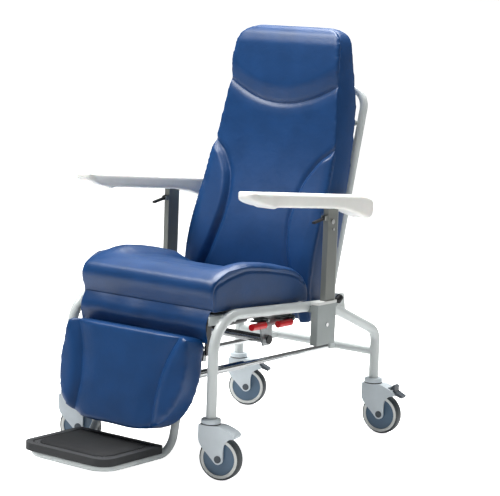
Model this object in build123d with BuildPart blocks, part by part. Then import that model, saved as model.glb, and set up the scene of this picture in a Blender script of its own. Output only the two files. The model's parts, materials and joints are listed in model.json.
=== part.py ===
from build123d import *
import os
from math import cos, radians, sin, tan

# Patient recliner chair on four castors, in millimetres.
# +Z is up, the sitter faces -Y and +X is the sitter's left. The origin is on the floor,
# midway between the four castor stems.

# ---------------------------------------------------------------- driving dimensions
TRACK = 532.8             # between the left and right castor stems
WHEELBASE = 804.0         # between the front and rear castor stems
SEAT_WIDTH = 494.0        # seat cushion, across
SEAT_BASE_Z = 462.0       # underside of the seat cushion
BACK_TOP_Z = 1250.0       # top of the headrest
POST_SPAN = 609.2         # between the centre planes of the two armrest posts
FRAME_TUBE_R = 15.0       # legs and side rails
CROSS_TUBE_R = 12.5       # rear cross tube, push-handle tube, actuator tube

# ---------------------------------------------------------------- fits
PIN_FIT = 0.06            # radial clearance of a pin in its bore
SLIDE_FIT = 0.3           # clearance round a sliding profile
SIDE_GAP = 1.5            # between two plates that turn past each other

# ---------------------------------------------------------------- castors
WHEEL_R = 62.5
WHEEL_WIDTH = 32.0
DISC_R = 50.0             # wheel centre, inside the tyre
DISC_WIDTH = 24.0
CASTOR_TRAIL = 34.3       # from the stem axis back to the wheel axle
CASTOR_HEIGHT = 171.5     # floor to the top of the castor's collar
COLLAR_R = 28.0
COLLAR_HEIGHT = 13.0
RACE_GAP = 3.0            # dark swivel race under the collar
FORK_WALL = 5.5
FORK_CLEARANCE = 2.0      # between the tyre and the fork, each side
AXLE_R = 5.0
HUB_R = 15.0
# the way each castor points: degrees from +X towards +Y
CASTOR_AIM = {"front_left": 13.7, "front_right": 21.0, "rear_left": 7.7, "rear_right": 21.0}
PEDAL_PIVOT = (74.0, 141.0)   # along the trail and up
PEDAL_WIDTH = 30.0
PEDAL_PIN_R = 3.0

# ---------------------------------------------------------------- side frames
RAIL_FRONT_Z = 458.0      # corner of the front leg and the side rail
RAIL_REAR_Y = 134.0       # where the rail turns down
RAIL_REAR_Z = 432.5
SHOULDER_Z = 319.5        # corner of the sloping tube and the rear leg
FRONT_BEND_R = 100.0
RAIL_BEND_R = 160.0
REAR_BEND_R = 50.0
REAR_CROSS_Z = 254.0

# ---------------------------------------------------------------- seat
BOARD_THICK = 10.0
SEAT_FRONT_Y = -394.0
SEAT_REAR_Y = 64.0
SEAT_TUBE_R = 11.0
SEAT_TUBE_YS = (-300.0, 20.0)
BOLSTER_TOP_Z = 586.0
TROUGH_DEPTH = 24.0       # the middle of the seat lies this much under its bolsters
TROUGH_WIDTH = 330.0

# ---------------------------------------------------------------- armrests
POST_THICK = 19.0
POST_DEPTH = 50.0
POST_FRONT_Y = 56.4
POST_BOTTOM_Z = 345.0
RECEIVER_WALL = 3.2
RECEIVER_FRONT_Y = 18.0
RECEIVER_BOTTOM_Z = 327.0
RECEIVER_TOP_Z = 448.0
CAP_HEIGHT = 8.0
CAP_LIP = 2.0
ARMREST_WIDTH = 74.0
ARMREST_TRAVEL = 90.0
LEVER_Z = 702.0           # armrest release lever
KNOB_RISE = 39.0          # tilt of the locking knob above level, degrees
KNOB_R = 11.0

# ---------------------------------------------------------------- backrest
BACK_PIVOT_Y = 226.0
BACK_PIVOT_Z = 440.0
BACK_PIN_R = 6.0
BACK_TUBE_X = 212.0
BACK_SLOPE = 0.246        # back tubes: travel along Y for each unit of Z
BACK_TUBE_BOTTOM_Z = 384.0
PUSH_BAR_Z = 1062.0
PUSH_BEND_R = 60.0
BACK_STANDOFF = 12.0
BACK_BOARD_THICK = 12.0
BACK_BOARD_TOP_Z = 1010.0
BACK_BOTTOM_Z = 378.0
BACK_BOTTOM_HALF = 236.0
BACK_WAIST_HALF = 245.0
BACK_HEAD_HALF = 207.0

# ---------------------------------------------------------------- legrest and footrest
LEG_PIVOT_Y = -380.0
LEG_PIVOT_Z = 438.0
LEG_PIN_R = 6.0
LEG_LEAN = 12.5           # degrees, lower end forward
CALF_TOP_Z = 398.0
CALF_TOP_R = 24.0
CALF_TOP_FRONT_Y = -450.0
CALF_THICK = 60.0
CALF_HALF = 232.0
CALF_LENGTH = 282.0
CALF_CORNER_R = 96.0
CALF_BOARD_THICK = 10.0
SLEEVE_X = 145.0
SLEEVE_R = 15.0
FOOT_TUBE_R = 12.0
SLEEVE_TOP_Z = 376.0
SLEEVE_BOTTOM_Z = 168.0
FOOT_TUBE_Z = 57.5
FOOT_FRONT_Y = -705.0
FOOT_BEND_R = 60.0
FOOT_CORNER_R = 55.0
MAT_HALF = 159.0
MAT_FRONT_Y = -722.0
MAT_REAR_Y = -473.0
MAT_TOP_Z = 86.0
MAT_SKIRT = 5.0
MAT_CORNER_R = 42.0

# ---------------------------------------------------------------- struts and gas spring
STRUT_X = 115.0
STRUT_ROD_R = 8.0
STRUT_TUBE_R = 12.0
STRUT_REAR_Y = 373.0
STRUT_FRONT_Y = -357.0
STRUT_TUBE_END_Y = -71.0
STRUT_INSERT = 205.0      # length of rod inside the tube
STRUT_PIN_R = 5.0
STRUT_NECK = 72.0         # slim neck between the front pin and the outer tube
SLOT_RISE = 26.0          # lost motion of the strut's front pin along its slot
SLOT_SIDE = 4.6           # room at each side of that pin
SLOT_SHIFT = -1.6         # from the pin at rest to the middle of the slot
ACTUATOR_Y = -118.0
ACTUATOR_Z = 354.0
ACTUATOR_HALF = 243.0
SPRING_END_Y = 198.0
SPRING_END_Z = 362.0
SPRING_BODY_R = 11.0
SPRING_ROD_R = 5.0
SPRING_BODY_LENGTH = 172.0
SPRING_PIN_R = 4.0
CRANK_HOLE_R = 13.5

# ---------------------------------------------------------------- release levers
LEVER_PLATE_X = 232.0
LEVER_GRIP_X = 262.0
GRIP_R = 10.0
GRIP_LENGTH = 62.0
LEVER_PIVOTS = {"legs": (-139.0, 414.0), "back": (-14.0, 408.0)}

# ---------------------------------------------------------------- derived
STEM_X = TRACK / 2
FRONT_Y = -WHEELBASE / 2
REAR_Y = WHEELBASE / 2
BOARD_BASE_Z = SEAT_BASE_Z - BOARD_THICK
SEAT_TUBE_Z = BOARD_BASE_Z - SEAT_TUBE_R
POST_X = POST_SPAN / 2
POST_REAR_Y = POST_FRONT_Y + POST_DEPTH
RECEIVER_WIDTH = POST_THICK + 2 * (SLIDE_FIT + RECEIVER_WALL)
RECEIVER_REAR_Y = POST_REAR_Y + SLIDE_FIT + RECEIVER_WALL
LEAN = tan(radians(LEG_LEAN))
SIDES = {"left": 1, "right": -1}

os.makedirs("parts", exist_ok=True)
pieces = {}


def keep(name, made):
    """Labels a finished piece and writes it out."""
    made.label = name
    export_step(made, f"parts/{name}.step")
    pieces[name] = made


def back_tube_y(z):
    """Y of the back tubes' axis at a height."""
    return BACK_PIVOT_Y - 3 + (z - BACK_PIVOT_Z) * BACK_SLOPE


def sleeve_y(z):
    """Y of the legrest sleeves' axis at a height."""
    return CALF_TOP_FRONT_Y + 98 + (z - CALF_TOP_Z) * LEAN


def swept_tube(points, bends, radius, wall=0):
    """A round tube along straight runs joined by bends."""
    with BuildPart() as tube:
        with BuildLine() as route:
            FilletPolyline(*points, radius=bends)
        with BuildSketch(Plane(origin=route.line @ 0, z_dir=route.line % 0)):
            Circle(radius)
            if wall:
                Circle(radius - wall, mode=Mode.SUBTRACT)
        sweep()
    return tube.part


def bar_x(x0, x1, y, z, radius):
    """A round bar along X from x0 to x1."""
    with BuildPart() as bar:
        with BuildSketch(Plane(origin=(x0, y, z), z_dir=(1, 0, 0))):
            Circle(radius)
        extrude(amount=x1 - x0)
    return bar.part


def bar_between(a, b, radius):
    """A round bar from point a to point b."""
    run = Vector(*b) - Vector(*a)
    with BuildPart() as bar:
        with BuildSketch(Plane(origin=a, z_dir=run)):
            Circle(radius)
        extrude(amount=run.length)
    return bar.part


def plate_x(x0, x1, outline, holes=(), corner=0):
    """A plate normal to X: an outline of (y, z) points, with (y, z, radius) holes."""
    with BuildPart() as plate:
        with BuildSketch(Plane(origin=(x0, 0, 0), x_dir=(0, 1, 0), z_dir=(1, 0, 0))) as face:
            with BuildLine():
                Polyline(*outline, close=True)
            make_face()
            if corner:
                fillet(face.vertices(), corner)
            for y, z, radius in holes:
                with Locations((y, z)):
                    Circle(radius, mode=Mode.SUBTRACT)
        extrude(amount=x1 - x0)
    return plate.part


def joined(shapes, cuts=()):
    """Several shapes welded into one, with others cut away."""
    with BuildPart() as whole:
        for shape in shapes:
            add(shape)
        for cut in cuts:
            add(cut, mode=Mode.SUBTRACT)
    return whole.part


def mirrored(shape):
    return mirror(shape, about=Plane.YZ)


# ================================================================ base frame
frame_path = [
    (STEM_X, FRONT_Y, CASTOR_HEIGHT),
    (STEM_X, FRONT_Y, RAIL_FRONT_Z),
    (STEM_X, RAIL_REAR_Y, RAIL_REAR_Z),
    (STEM_X, REAR_Y, SHOULDER_Z),
    (STEM_X, REAR_Y, CASTOR_HEIGHT),
]
side_left = swept_tube(frame_path, [FRONT_BEND_R, RAIL_BEND_R, REAR_BEND_R], FRAME_TUBE_R)
side_right = mirrored(side_left)
keep("side_frame_left", side_left)
keep("side_frame_right", side_right)

# rear cross tube, coped to the legs, with a clevis and pin for each legrest strut
CLEVIS_GAP = 12.0
CLEVIS_WALL = 4.0
clevis_outline = [
    (STRUT_REAR_Y - 10, REAR_CROSS_Z - 9),
    (REAR_Y, REAR_CROSS_Z - 9),
    (REAR_Y, REAR_CROSS_Z + 9),
    (STRUT_REAR_Y - 10, REAR_CROSS_Z + 9),
]
clevis_room = [
    (STRUT_REAR_Y - 17, REAR_CROSS_Z - 15),
    (REAR_Y, REAR_CROSS_Z - 15),
    (REAR_Y, REAR_CROSS_Z + 15),
    (STRUT_REAR_Y - 17, REAR_CROSS_Z + 15),
]
cross_parts = [bar_x(-STEM_X, STEM_X, REAR_Y, REAR_CROSS_Z, CROSS_TUBE_R)]
for side in SIDES.values():
    centre = side * STRUT_X
    for inner in (-CLEVIS_GAP / 2 - CLEVIS_WALL, CLEVIS_GAP / 2):
        cross_parts.append(plate_x(centre + inner, centre + inner + CLEVIS_WALL, clevis_outline))
    half = CLEVIS_GAP / 2 + CLEVIS_WALL
    cross_parts.append(bar_x(centre - half, centre + half, STRUT_REAR_Y, REAR_CROSS_Z, STRUT_PIN_R))
keep("rear_cross_tube", joined(cross_parts, [side_left, side_right]))

seat_tube_end = STEM_X - FRAME_TUBE_R * 0.6
seat_tubes = [bar_x(-seat_tube_end, seat_tube_end, y, SEAT_TUBE_Z, SEAT_TUBE_R) for y in SEAT_TUBE_YS]
keep("seat_cross_tubes", joined(seat_tubes, [side_left, side_right]))

BOARD_INSET = 18.0
with BuildPart() as seat_board:
    with BuildSketch(Plane.XY.offset(BOARD_BASE_Z)) as face:
        with Locations((0, (SEAT_FRONT_Y + 2 * BOARD_INSET + SEAT_REAR_Y) / 2)):
            Rectangle(SEAT_WIDTH - 2 * BOARD_INSET, SEAT_REAR_Y - SEAT_FRONT_Y - 2 * BOARD_INSET)
        fillet(face.vertices(), 20)
    extrude(amount=BOARD_THICK)
seat_board_part = joined([seat_board.part], [side_left, side_right])
keep("seat_board", seat_board_part)

# legrest pivot brackets under the seat's front corners, with their pins
bracket_outline = [
    (LEG_PIVOT_Y - 12, LEG_PIVOT_Z - 12),
    (SEAT_TUBE_YS[0], SEAT_TUBE_Z - SEAT_TUBE_R - 4),
    (SEAT_TUBE_YS[0], BOARD_BASE_Z),
    (LEG_PIVOT_Y - 12, BOARD_BASE_Z),
]
BRACKET_X = 236.0
bracket_parts = []
for side in SIDES.values():
    plate = plate_x(BRACKET_X, BRACKET_X + 6, bracket_outline)
    pin = bar_x(BRACKET_X - 14, BRACKET_X, LEG_PIVOT_Y, LEG_PIVOT_Z, LEG_PIN_R)
    both = joined([plate, pin], [seat_tubes[0], side_left])
    bracket_parts.append(both if side > 0 else mirrored(both))
keep("legrest_brackets", joined(bracket_parts))

# backrest pivot lugs on the sloping tubes, with their pins
LUG_X = 243.0
slope_run = REAR_Y - RAIL_REAR_Y
lug_foot_z = RAIL_REAR_Z + (BACK_PIVOT_Y - RAIL_REAR_Y) * (SHOULDER_Z - RAIL_REAR_Z) / slope_run
lug_outline = [
    (BACK_PIVOT_Y - 26, lug_foot_z - 4),
    (BACK_PIVOT_Y + 26, lug_foot_z - 14),
    (BACK_PIVOT_Y + 13, BACK_PIVOT_Z + 13),
    (BACK_PIVOT_Y - 13, BACK_PIVOT_Z + 13),
]
lug = joined(
    [
        plate_x(LUG_X, LUG_X + 12, lug_outline),
        bar_x(LUG_X - 22, LUG_X, BACK_PIVOT_Y, BACK_PIVOT_Z, BACK_PIN_R),
    ],
    [side_left],
)
keep("back_lugs", joined([lug, mirrored(lug)]))

# ================================================================ armrest receivers
receiver_mid_y = (RECEIVER_FRONT_Y + RECEIVER_REAR_Y) / 2
post_mid_y = (POST_FRONT_Y + POST_REAR_Y) / 2
front_cell = POST_FRONT_Y - SLIDE_FIT - RECEIVER_FRONT_Y - 2 * RECEIVER_WALL
knob_dir = Vector(0, cos(radians(KNOB_RISE)), sin(radians(KNOB_RISE)))
KNOB_ROOT = Vector(POST_X, RECEIVER_REAR_Y - 2, 428)
BOSS_LENGTH = 20.0
STEM_R = 3.0
with BuildPart() as receiver:
    with BuildSketch(Plane.XY.offset(RECEIVER_BOTTOM_Z)) as face:
        with Locations((POST_X, receiver_mid_y)):
            Rectangle(RECEIVER_WIDTH, RECEIVER_REAR_Y - RECEIVER_FRONT_Y)
        fillet(face.vertices(), 3)
        with Locations((POST_X, post_mid_y)):
            Rectangle(POST_THICK + 2 * SLIDE_FIT, POST_DEPTH + 2 * SLIDE_FIT, mode=Mode.SUBTRACT)
        with Locations((POST_X, RECEIVER_FRONT_Y + RECEIVER_WALL + front_cell / 2)):
            Rectangle(POST_THICK, front_cell, mode=Mode.SUBTRACT)
    extrude(amount=RECEIVER_TOP_Z - RECEIVER_BOTTOM_Z)
    # weld block between the receiver and the side rail
    with BuildSketch(Plane.XY.offset(RAIL_REAR_Z - 10)):
        with Locations((STEM_X + (POST_X - RECEIVER_WIDTH / 2 - STEM_X) / 2, receiver_mid_y)):
            Rectangle(POST_X - RECEIVER_WIDTH / 2 - STEM_X, RECEIVER_REAR_Y - RECEIVER_FRONT_Y - 16)
    extrude(amount=20)
    add(side_left, mode=Mode.SUBTRACT)
boss = bar_between(KNOB_ROOT, KNOB_ROOT + knob_dir * BOSS_LENGTH, 7)
boss_bore = bar_between(KNOB_ROOT - knob_dir * 8, KNOB_ROOT + knob_dir * 30, STEM_R + PIN_FIT)
with BuildPart() as post_way:
    with BuildSketch(Plane.XY.offset(RECEIVER_BOTTOM_Z)):
        with Locations((POST_X, post_mid_y)):
            Rectangle(POST_THICK + 2 * SLIDE_FIT, POST_DEPTH + 2 * SLIDE_FIT)
    extrude(amount=RECEIVER_TOP_Z - RECEIVER_BOTTOM_Z)
receiver_left = joined([receiver.part, boss], [boss_bore, post_way.part])
keep("receiver_left", receiver_left)
keep("receiver_right", mirrored(receiver_left))

with BuildPart() as cap:
    with BuildSketch(Plane.XY.offset(RECEIVER_TOP_Z)) as face:
        with Locations((POST_X, receiver_mid_y)):
            Rectangle(RECEIVER_WIDTH + 2 * CAP_LIP, RECEIVER_REAR_Y - RECEIVER_FRONT_Y + 2 * CAP_LIP)
        fillet(face.vertices(), 5)
        with Locations((POST_X, post_mid_y)):
            Rectangle(POST_THICK + 2 * SLIDE_FIT, POST_DEPTH + 2 * SLIDE_FIT, mode=Mode.SUBTRACT)
    extrude(amount=CAP_HEIGHT)
keep("receiver_caps", joined([cap.part, mirrored(cap.part)]))

RECEIVER_SCREW = (64.2, 386.6)
screw_x = POST_X + RECEIVER_WIDTH / 2
receiver_screw = bar_x(screw_x, screw_x + 3, *RECEIVER_SCREW, 6)
keep("receiver_screws", joined([receiver_screw, mirrored(receiver_screw)]))

# locking knobs: a stem in the boss, with a round knob
knob_stem = bar_between(KNOB_ROOT + knob_dir * 8, KNOB_ROOT + knob_dir * 44, STEM_R)
knob_head = bar_between(KNOB_ROOT + knob_dir * 32, KNOB_ROOT + knob_dir * 50, KNOB_R)
knob_left = joined([knob_stem, knob_head], [receiver_left])
keep("lock_knob_left", knob_left)
keep("lock_knob_right", mirrored(knob_left))

# ================================================================ armrests
ARM_FRONT_Y = -336.0
ARM_REAR_Y = 268.0
ARM_TIP_R = 30.0
with BuildPart() as arm:
    with BuildSketch(Plane(origin=(POST_X - ARMREST_WIDTH / 2, 0, 0), x_dir=(0, 1, 0), z_dir=(1, 0, 0))):
        with BuildLine():
            Line((ARM_FRONT_Y + 9, 803), (150, 764))
            Spline(
                (150, 764),
                (215, 757),
                (262, 727),
                (250, 699),
                (224, 690),
                tangents=((1, -0.08), (-1, 0)),
            )
            Line((224, 690), (132, 720))
            Line((132, 720), (69, 731))
            Line((69, 731), (-214, 754))
            Spline((-214, 754), (-242, 752), (-262, 759), tangents=((-1, 0.08), (-1, 0.1)))
            Spline(
                (-262, 759),
                (-294, 766),
                (ARM_FRONT_Y + 14, 777),
                (ARM_FRONT_Y, 791),
                (ARM_FRONT_Y + 9, 803),
                tangents=((-1, 0.1), (1, 0.35)),
            )
        make_face()
    extrude(amount=ARMREST_WIDTH)
    long_edges = arm.edges().filter_by(Axis.X, reverse=True)
    fillet(long_edges, 8)
    # the tip and the rear end are rounded in plan
    with BuildSketch(Plane.XY.offset(600)) as plan:
        with Locations((POST_X, (ARM_FRONT_Y + ARM_REAR_Y) / 2)):
            Rectangle(ARMREST_WIDTH, ARM_REAR_Y - ARM_FRONT_Y)
        fillet(plan.vertices(), ARM_TIP_R)
    extrude(amount=300, mode=Mode.INTERSECT)
arm_pad = arm.part
keep("armrest_pad_left", arm_pad)
keep("armrest_pad_right", mirrored(arm_pad))

# the post, with a pair of ears and a pin for the release lever
LEVER_PIN_R = 2.5
LEVER_PIVOT_Y = POST_FRONT_Y - 8
LEVER_HALF = 5.0
with BuildPart() as post:
    with BuildSketch(Plane.XY.offset(POST_BOTTOM_Z)) as face:
        with Locations((POST_X, post_mid_y)):
            Rectangle(POST_THICK, POST_DEPTH)
        fillet(face.vertices(), 1.5)
        with Locations((POST_X, post_mid_y)):
            Rectangle(POST_THICK - 5, POST_DEPTH - 5, mode=Mode.SUBTRACT)
    extrude(amount=745 - POST_BOTTOM_Z)
ear_outline = [
    (LEVER_PIVOT_Y - 6, LEVER_Z - 6),
    (POST_FRONT_Y + 2, LEVER_Z - 9),
    (POST_FRONT_Y + 2, LEVER_Z + 9),
    (LEVER_PIVOT_Y - 6, LEVER_Z + 6),
]
ears = [
    plate_x(POST_X - LEVER_HALF - 3, POST_X - LEVER_HALF - 1, ear_outline),
    plate_x(POST_X + LEVER_HALF + 1, POST_X + LEVER_HALF + 3, ear_outline),
    bar_x(POST_X - LEVER_HALF - 3, POST_X + LEVER_HALF + 3, LEVER_PIVOT_Y, LEVER_Z, LEVER_PIN_R),
]
post_left = joined([post.part, *ears], [arm_pad])
keep("armrest_post_left", post_left)
keep("armrest_post_right", mirrored(post_left))

POST_SCREWS = [(76.0, 690.4, 7.5), (81.2, 668.1, 4.0)]
screw_face = POST_X + POST_THICK / 2
post_screws = joined([bar_x(screw_face, screw_face + 4, y, z, r) for y, z, r in POST_SCREWS])
keep("post_screws_left", post_screws)
keep("post_screws_right", mirrored(post_screws))

# release lever: a hub on the pin and a flat handle pointing forward
handle_outline = [
    (LEVER_PIVOT_Y, LEVER_Z + 3.5),
    (LEVER_PIVOT_Y, LEVER_Z - 3.5),
    (LEVER_PIVOT_Y - 54, LEVER_Z - 13),
    (LEVER_PIVOT_Y - 54, LEVER_Z - 7),
]
arm_lever = joined(
    [
        bar_x(POST_X - LEVER_HALF, POST_X + LEVER_HALF, LEVER_PIVOT_Y, LEVER_Z, 5.5),
        plate_x(POST_X - LEVER_HALF, POST_X + LEVER_HALF, handle_outline),
    ],
    [bar_x(POST_X - 20, POST_X + 20, LEVER_PIVOT_Y, LEVER_Z, LEVER_PIN_R + PIN_FIT)],
)
keep("armrest_lever_left", arm_lever)
keep("armrest_lever_right", mirrored(arm_lever))

# ================================================================ seat cushion and front flap
with BuildPart() as seat_cushion:
    with BuildSketch(Plane(origin=(-SEAT_WIDTH / 2, 0, 0), x_dir=(0, 1, 0), z_dir=(1, 0, 0))):
        with BuildLine():
            Line((SEAT_FRONT_Y + 8, SEAT_BASE_Z), (SEAT_FRONT_Y, SEAT_BASE_Z + 50))
            Spline(
                (SEAT_FRONT_Y, SEAT_BASE_Z + 50),
                (SEAT_FRONT_Y + 18, BOLSTER_TOP_Z - 30),
                (SEAT_FRONT_Y + 150, BOLSTER_TOP_Z),
                (SEAT_REAR_Y - 150, BOLSTER_TOP_Z - 20),
            )
            ThreePointArc(
                (SEAT_REAR_Y - 150, BOLSTER_TOP_Z - 20),
                (SEAT_REAR_Y - 44, BOLSTER_TOP_Z - 50),
                (SEAT_REAR_Y, SEAT_BASE_Z + 22),
            )
            Line((SEAT_REAR_Y, SEAT_BASE_Z + 22), (SEAT_REAR_Y, SEAT_BASE_Z))
            Line((SEAT_REAR_Y, SEAT_BASE_Z), (SEAT_FRONT_Y + 8, SEAT_BASE_Z))
        make_face()
    extrude(amount=SEAT_WIDTH)
    # shallow trough between the side bolsters
    with BuildSketch(Plane.XZ.offset(-SEAT_FRONT_Y + 10)):
        with BuildLine():
            Polyline(
                (-TROUGH_WIDTH / 2, BOLSTER_TOP_Z - TROUGH_DEPTH),
                (TROUGH_WIDTH / 2, BOLSTER_TOP_Z - TROUGH_DEPTH),
                (TROUGH_WIDTH / 2 + 60, BOLSTER_TOP_Z + 20),
                (-TROUGH_WIDTH / 2 - 60, BOLSTER_TOP_Z + 20),
                close=True,
            )
        make_face()
    extrude(amount=SEAT_FRONT_Y - SEAT_REAR_Y - 20, mode=Mode.SUBTRACT)
keep("seat_cushion", joined([seat_cushion.part], [side_left, side_right]))

FLAP_THICK = 3.0
FLAP_HALF = 222.0
FLAP_BOTTOM_Z = CALF_TOP_Z - 9
flap_low_y = LEG_PIVOT_Y - 17
flap_top_y = SEAT_FRONT_Y + 4
flap_outline = [
    (flap_low_y, FLAP_BOTTOM_Z),
    (flap_low_y + FLAP_THICK, FLAP_BOTTOM_Z),
    (flap_low_y + FLAP_THICK, LEG_PIVOT_Z - 8),
    (flap_top_y + FLAP_THICK, BOARD_BASE_Z - 0.5),
    (flap_top_y, BOARD_BASE_Z - 0.5),
    (flap_low_y, LEG_PIVOT_Z - 8),
]
keep("seat_flap", plate_x(-FLAP_HALF, FLAP_HALF, flap_outline))

# ================================================================ backrest
top_y = back_tube_y(PUSH_BAR_Z)
low_y = back_tube_y(BACK_TUBE_BOTTOM_Z)
back_path = [
    (BACK_TUBE_X, low_y, BACK_TUBE_BOTTOM_Z),
    (BACK_TUBE_X, top_y, PUSH_BAR_Z),
    (-BACK_TUBE_X, top_y, PUSH_BAR_Z),
    (-BACK_TUBE_X, low_y, BACK_TUBE_BOTTOM_Z),
]
back_hoop = swept_tube(back_path, [PUSH_BEND_R, PUSH_BEND_R], CROSS_TUBE_R)
CRANK_BAR_Z = 402.0
crank_y = back_tube_y(CRANK_BAR_Z)
EYE_HALF = 6.0
CRANK_THICK = 5.0


def crank(x0):
    """Link plate from the lower back bar down to the gas spring, with a wide hole for its pin."""
    with BuildPart() as plate:
        with BuildSketch(Plane(origin=(x0, 0, 0), x_dir=(0, 1, 0), z_dir=(1, 0, 0))):
            with Locations((SPRING_END_Y, SPRING_END_Z)):
                Circle(CRANK_HOLE_R + 5)
            with Locations((crank_y, CRANK_BAR_Z)):
                Circle(10)
            make_hull()
            with Locations((SPRING_END_Y, SPRING_END_Z)):
                Circle(CRANK_HOLE_R, mode=Mode.SUBTRACT)
        extrude(amount=CRANK_THICK)
    return plate.part


back_parts = [back_hoop, bar_x(-BACK_TUBE_X, BACK_TUBE_X, crank_y, CRANK_BAR_Z, 9)]
for start in (-EYE_HALF - SIDE_GAP - CRANK_THICK, EYE_HALF + SIDE_GAP):
    back_parts.append(crank(start))
for side in SIDES.values():
    inner = BACK_TUBE_X if side > 0 else -LUG_X + SIDE_GAP
    outer = LUG_X - SIDE_GAP if side > 0 else -BACK_TUBE_X
    back_parts.append(bar_x(inner, outer, BACK_PIVOT_Y, BACK_PIVOT_Z, 13))
back_normal = Vector(0, -1, BACK_SLOPE).normalized()
STANDOFF_ZS = (480.0, 960.0)
for side in SIDES.values():
    for z in STANDOFF_ZS:
        foot = Vector(side * BACK_TUBE_X * 0.9, back_tube_y(z), z)
        back_parts.append(bar_between(foot, foot + back_normal * (CROSS_TUBE_R + BACK_STANDOFF), 9))
bore_reach = LUG_X - BACK_TUBE_X + 24
pin_bores = [
    bar_x(LUG_X - bore_reach, LUG_X, BACK_PIVOT_Y, BACK_PIVOT_Z, BACK_PIN_R + PIN_FIT),
    bar_x(-LUG_X, bore_reach - LUG_X, BACK_PIVOT_Y, BACK_PIVOT_Z, BACK_PIN_R + PIN_FIT),
]
keep("back_frame", joined(back_parts, pin_bores))

rise = Vector(0, BACK_SLOPE, 1).normalized()
tube_front = CROSS_TUBE_R + BACK_STANDOFF
board_low = Vector(0, back_tube_y(400), 400) + back_normal * tube_front
board_plane = Plane(origin=board_low, x_dir=(1, 0, 0), z_dir=back_normal)
board_length = (BACK_BOARD_TOP_Z - 400) / rise.Z
with BuildPart() as back_board:
    with BuildSketch(board_plane) as face:
        with Locations((0, board_length / 2)):
            Rectangle(2 * BACK_HEAD_HALF - 24, board_length)
        fillet(face.vertices(), 30)
    extrude(amount=BACK_BOARD_THICK)
keep("back_board", back_board.part)

BACK_CREST_REAR_Y = 322.0
HEAD_REAR_Z = 1020.0
# the back pad: its side profile and its front outline, crossed
pad_rear = tube_front + BACK_BOARD_THICK


def pad_rear_y(z):
    return back_tube_y(z) - pad_rear / rise.Z


with BuildPart() as back_cushion:
    with BuildSketch(Plane(origin=(-300, 0, 0), x_dir=(0, 1, 0), z_dir=(1, 0, 0))):
        with BuildLine():
            Spline(
                (98, BACK_BOTTOM_Z),
                (79, 533),
                (101, 631),
                (138, 728),
                (194, 893),
                (228, 1085),
                (250, BACK_TOP_Z - 40),
            )
            ThreePointArc(
                (250, BACK_TOP_Z - 40), (284, BACK_TOP_Z), (BACK_CREST_REAR_Y, BACK_TOP_Z - 44)
            )
            Line((BACK_CREST_REAR_Y, BACK_TOP_Z - 44), (pad_rear_y(HEAD_REAR_Z), HEAD_REAR_Z))
            Line((pad_rear_y(HEAD_REAR_Z), HEAD_REAR_Z), (pad_rear_y(BACK_BOTTOM_Z), BACK_BOTTOM_Z))
            Line((pad_rear_y(BACK_BOTTOM_Z), BACK_BOTTOM_Z), (98, BACK_BOTTOM_Z))
        make_face()
    extrude(amount=600)
    with BuildSketch(Plane.XZ.offset(300)):
        with BuildLine() as half_outline:
            Polyline((0, BACK_BOTTOM_Z), (BACK_BOTTOM_HALF, BACK_BOTTOM_Z))
            Spline(
                (BACK_BOTTOM_HALF, BACK_BOTTOM_Z),
                (BACK_WAIST_HALF, 600),
                (BACK_WAIST_HALF - 8, 800),
                (BACK_WAIST_HALF - 18, 930),
                (BACK_HEAD_HALF, 1085),
                (BACK_HEAD_HALF - 9, BACK_TOP_Z - 80),
            )
            Spline(
                (BACK_HEAD_HALF - 9, BACK_TOP_Z - 80),
                (BACK_HEAD_HALF - 32, BACK_TOP_Z - 18),
                (BACK_HEAD_HALF - 85, BACK_TOP_Z),
            )
            Line((BACK_HEAD_HALF - 85, BACK_TOP_Z), (0, BACK_TOP_Z))
            mirror(half_outline.line, about=Plane.YZ)
        make_face()
    extrude(amount=-900, mode=Mode.INTERSECT)
keep("back_cushion", back_cushion.part)

# ================================================================ legrest
leg_down = Vector(0, -LEAN, -1).normalized()
leg_back = Vector(0, 1, -LEAN).normalized()
pad_face = Plane(origin=(0, CALF_TOP_FRONT_Y, CALF_TOP_Z), x_dir=(-1, 0, 0), z_dir=leg_back)
with BuildPart() as calf_cushion:
    with BuildSketch(pad_face):
        with BuildLine() as half_outline:
            Line((0, 0), (CALF_HALF - 6, 0))
            Spline(
                (CALF_HALF - 6, 0),
                (CALF_HALF + 3, -CALF_LENGTH * 0.38),
                (CALF_HALF - CALF_CORNER_R * 0.27, -CALF_LENGTH + CALF_CORNER_R * 0.62),
                (CALF_HALF - CALF_CORNER_R, -CALF_LENGTH + 8),
                tangents=((0.1, -1), (-1, -0.35)),
            )
            Spline(
                (CALF_HALF - CALF_CORNER_R, -CALF_LENGTH + 8),
                (CALF_HALF - CALF_CORNER_R - 50, -CALF_LENGTH),
                (0, -CALF_LENGTH),
                tangents=((-1, -0.35), (-1, 0)),
            )
            mirror(half_outline.line, about=Plane.YZ)
        make_face()
    extrude(amount=CALF_THICK)
    top_edges = calf_cushion.edges().filter_by(lambda e: abs(e.center().X) > CALF_HALF - 20)
    fillet(top_edges.filter_by(lambda e: e.length < CALF_THICK + 1).group_by(Axis.Z)[-1], CALF_TOP_R)
keep("calf_cushion", calf_cushion.part)

board_origin = Vector(0, CALF_TOP_FRONT_Y, CALF_TOP_Z) + leg_down * 22 + leg_back * CALF_THICK
calf_board_length = CALF_LENGTH - 60
with BuildPart() as calf_board:
    with BuildSketch(Plane(origin=board_origin, x_dir=(-1, 0, 0), z_dir=leg_back)) as face:
        with Locations((0, -calf_board_length / 2)):
            Rectangle(2 * CALF_HALF - 110, calf_board_length)
        fillet(face.vertices(), 40)
    extrude(amount=CALF_BOARD_THICK)
keep("calf_board", calf_board.part)

strap_face = CALF_THICK + CALF_BOARD_THICK


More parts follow.
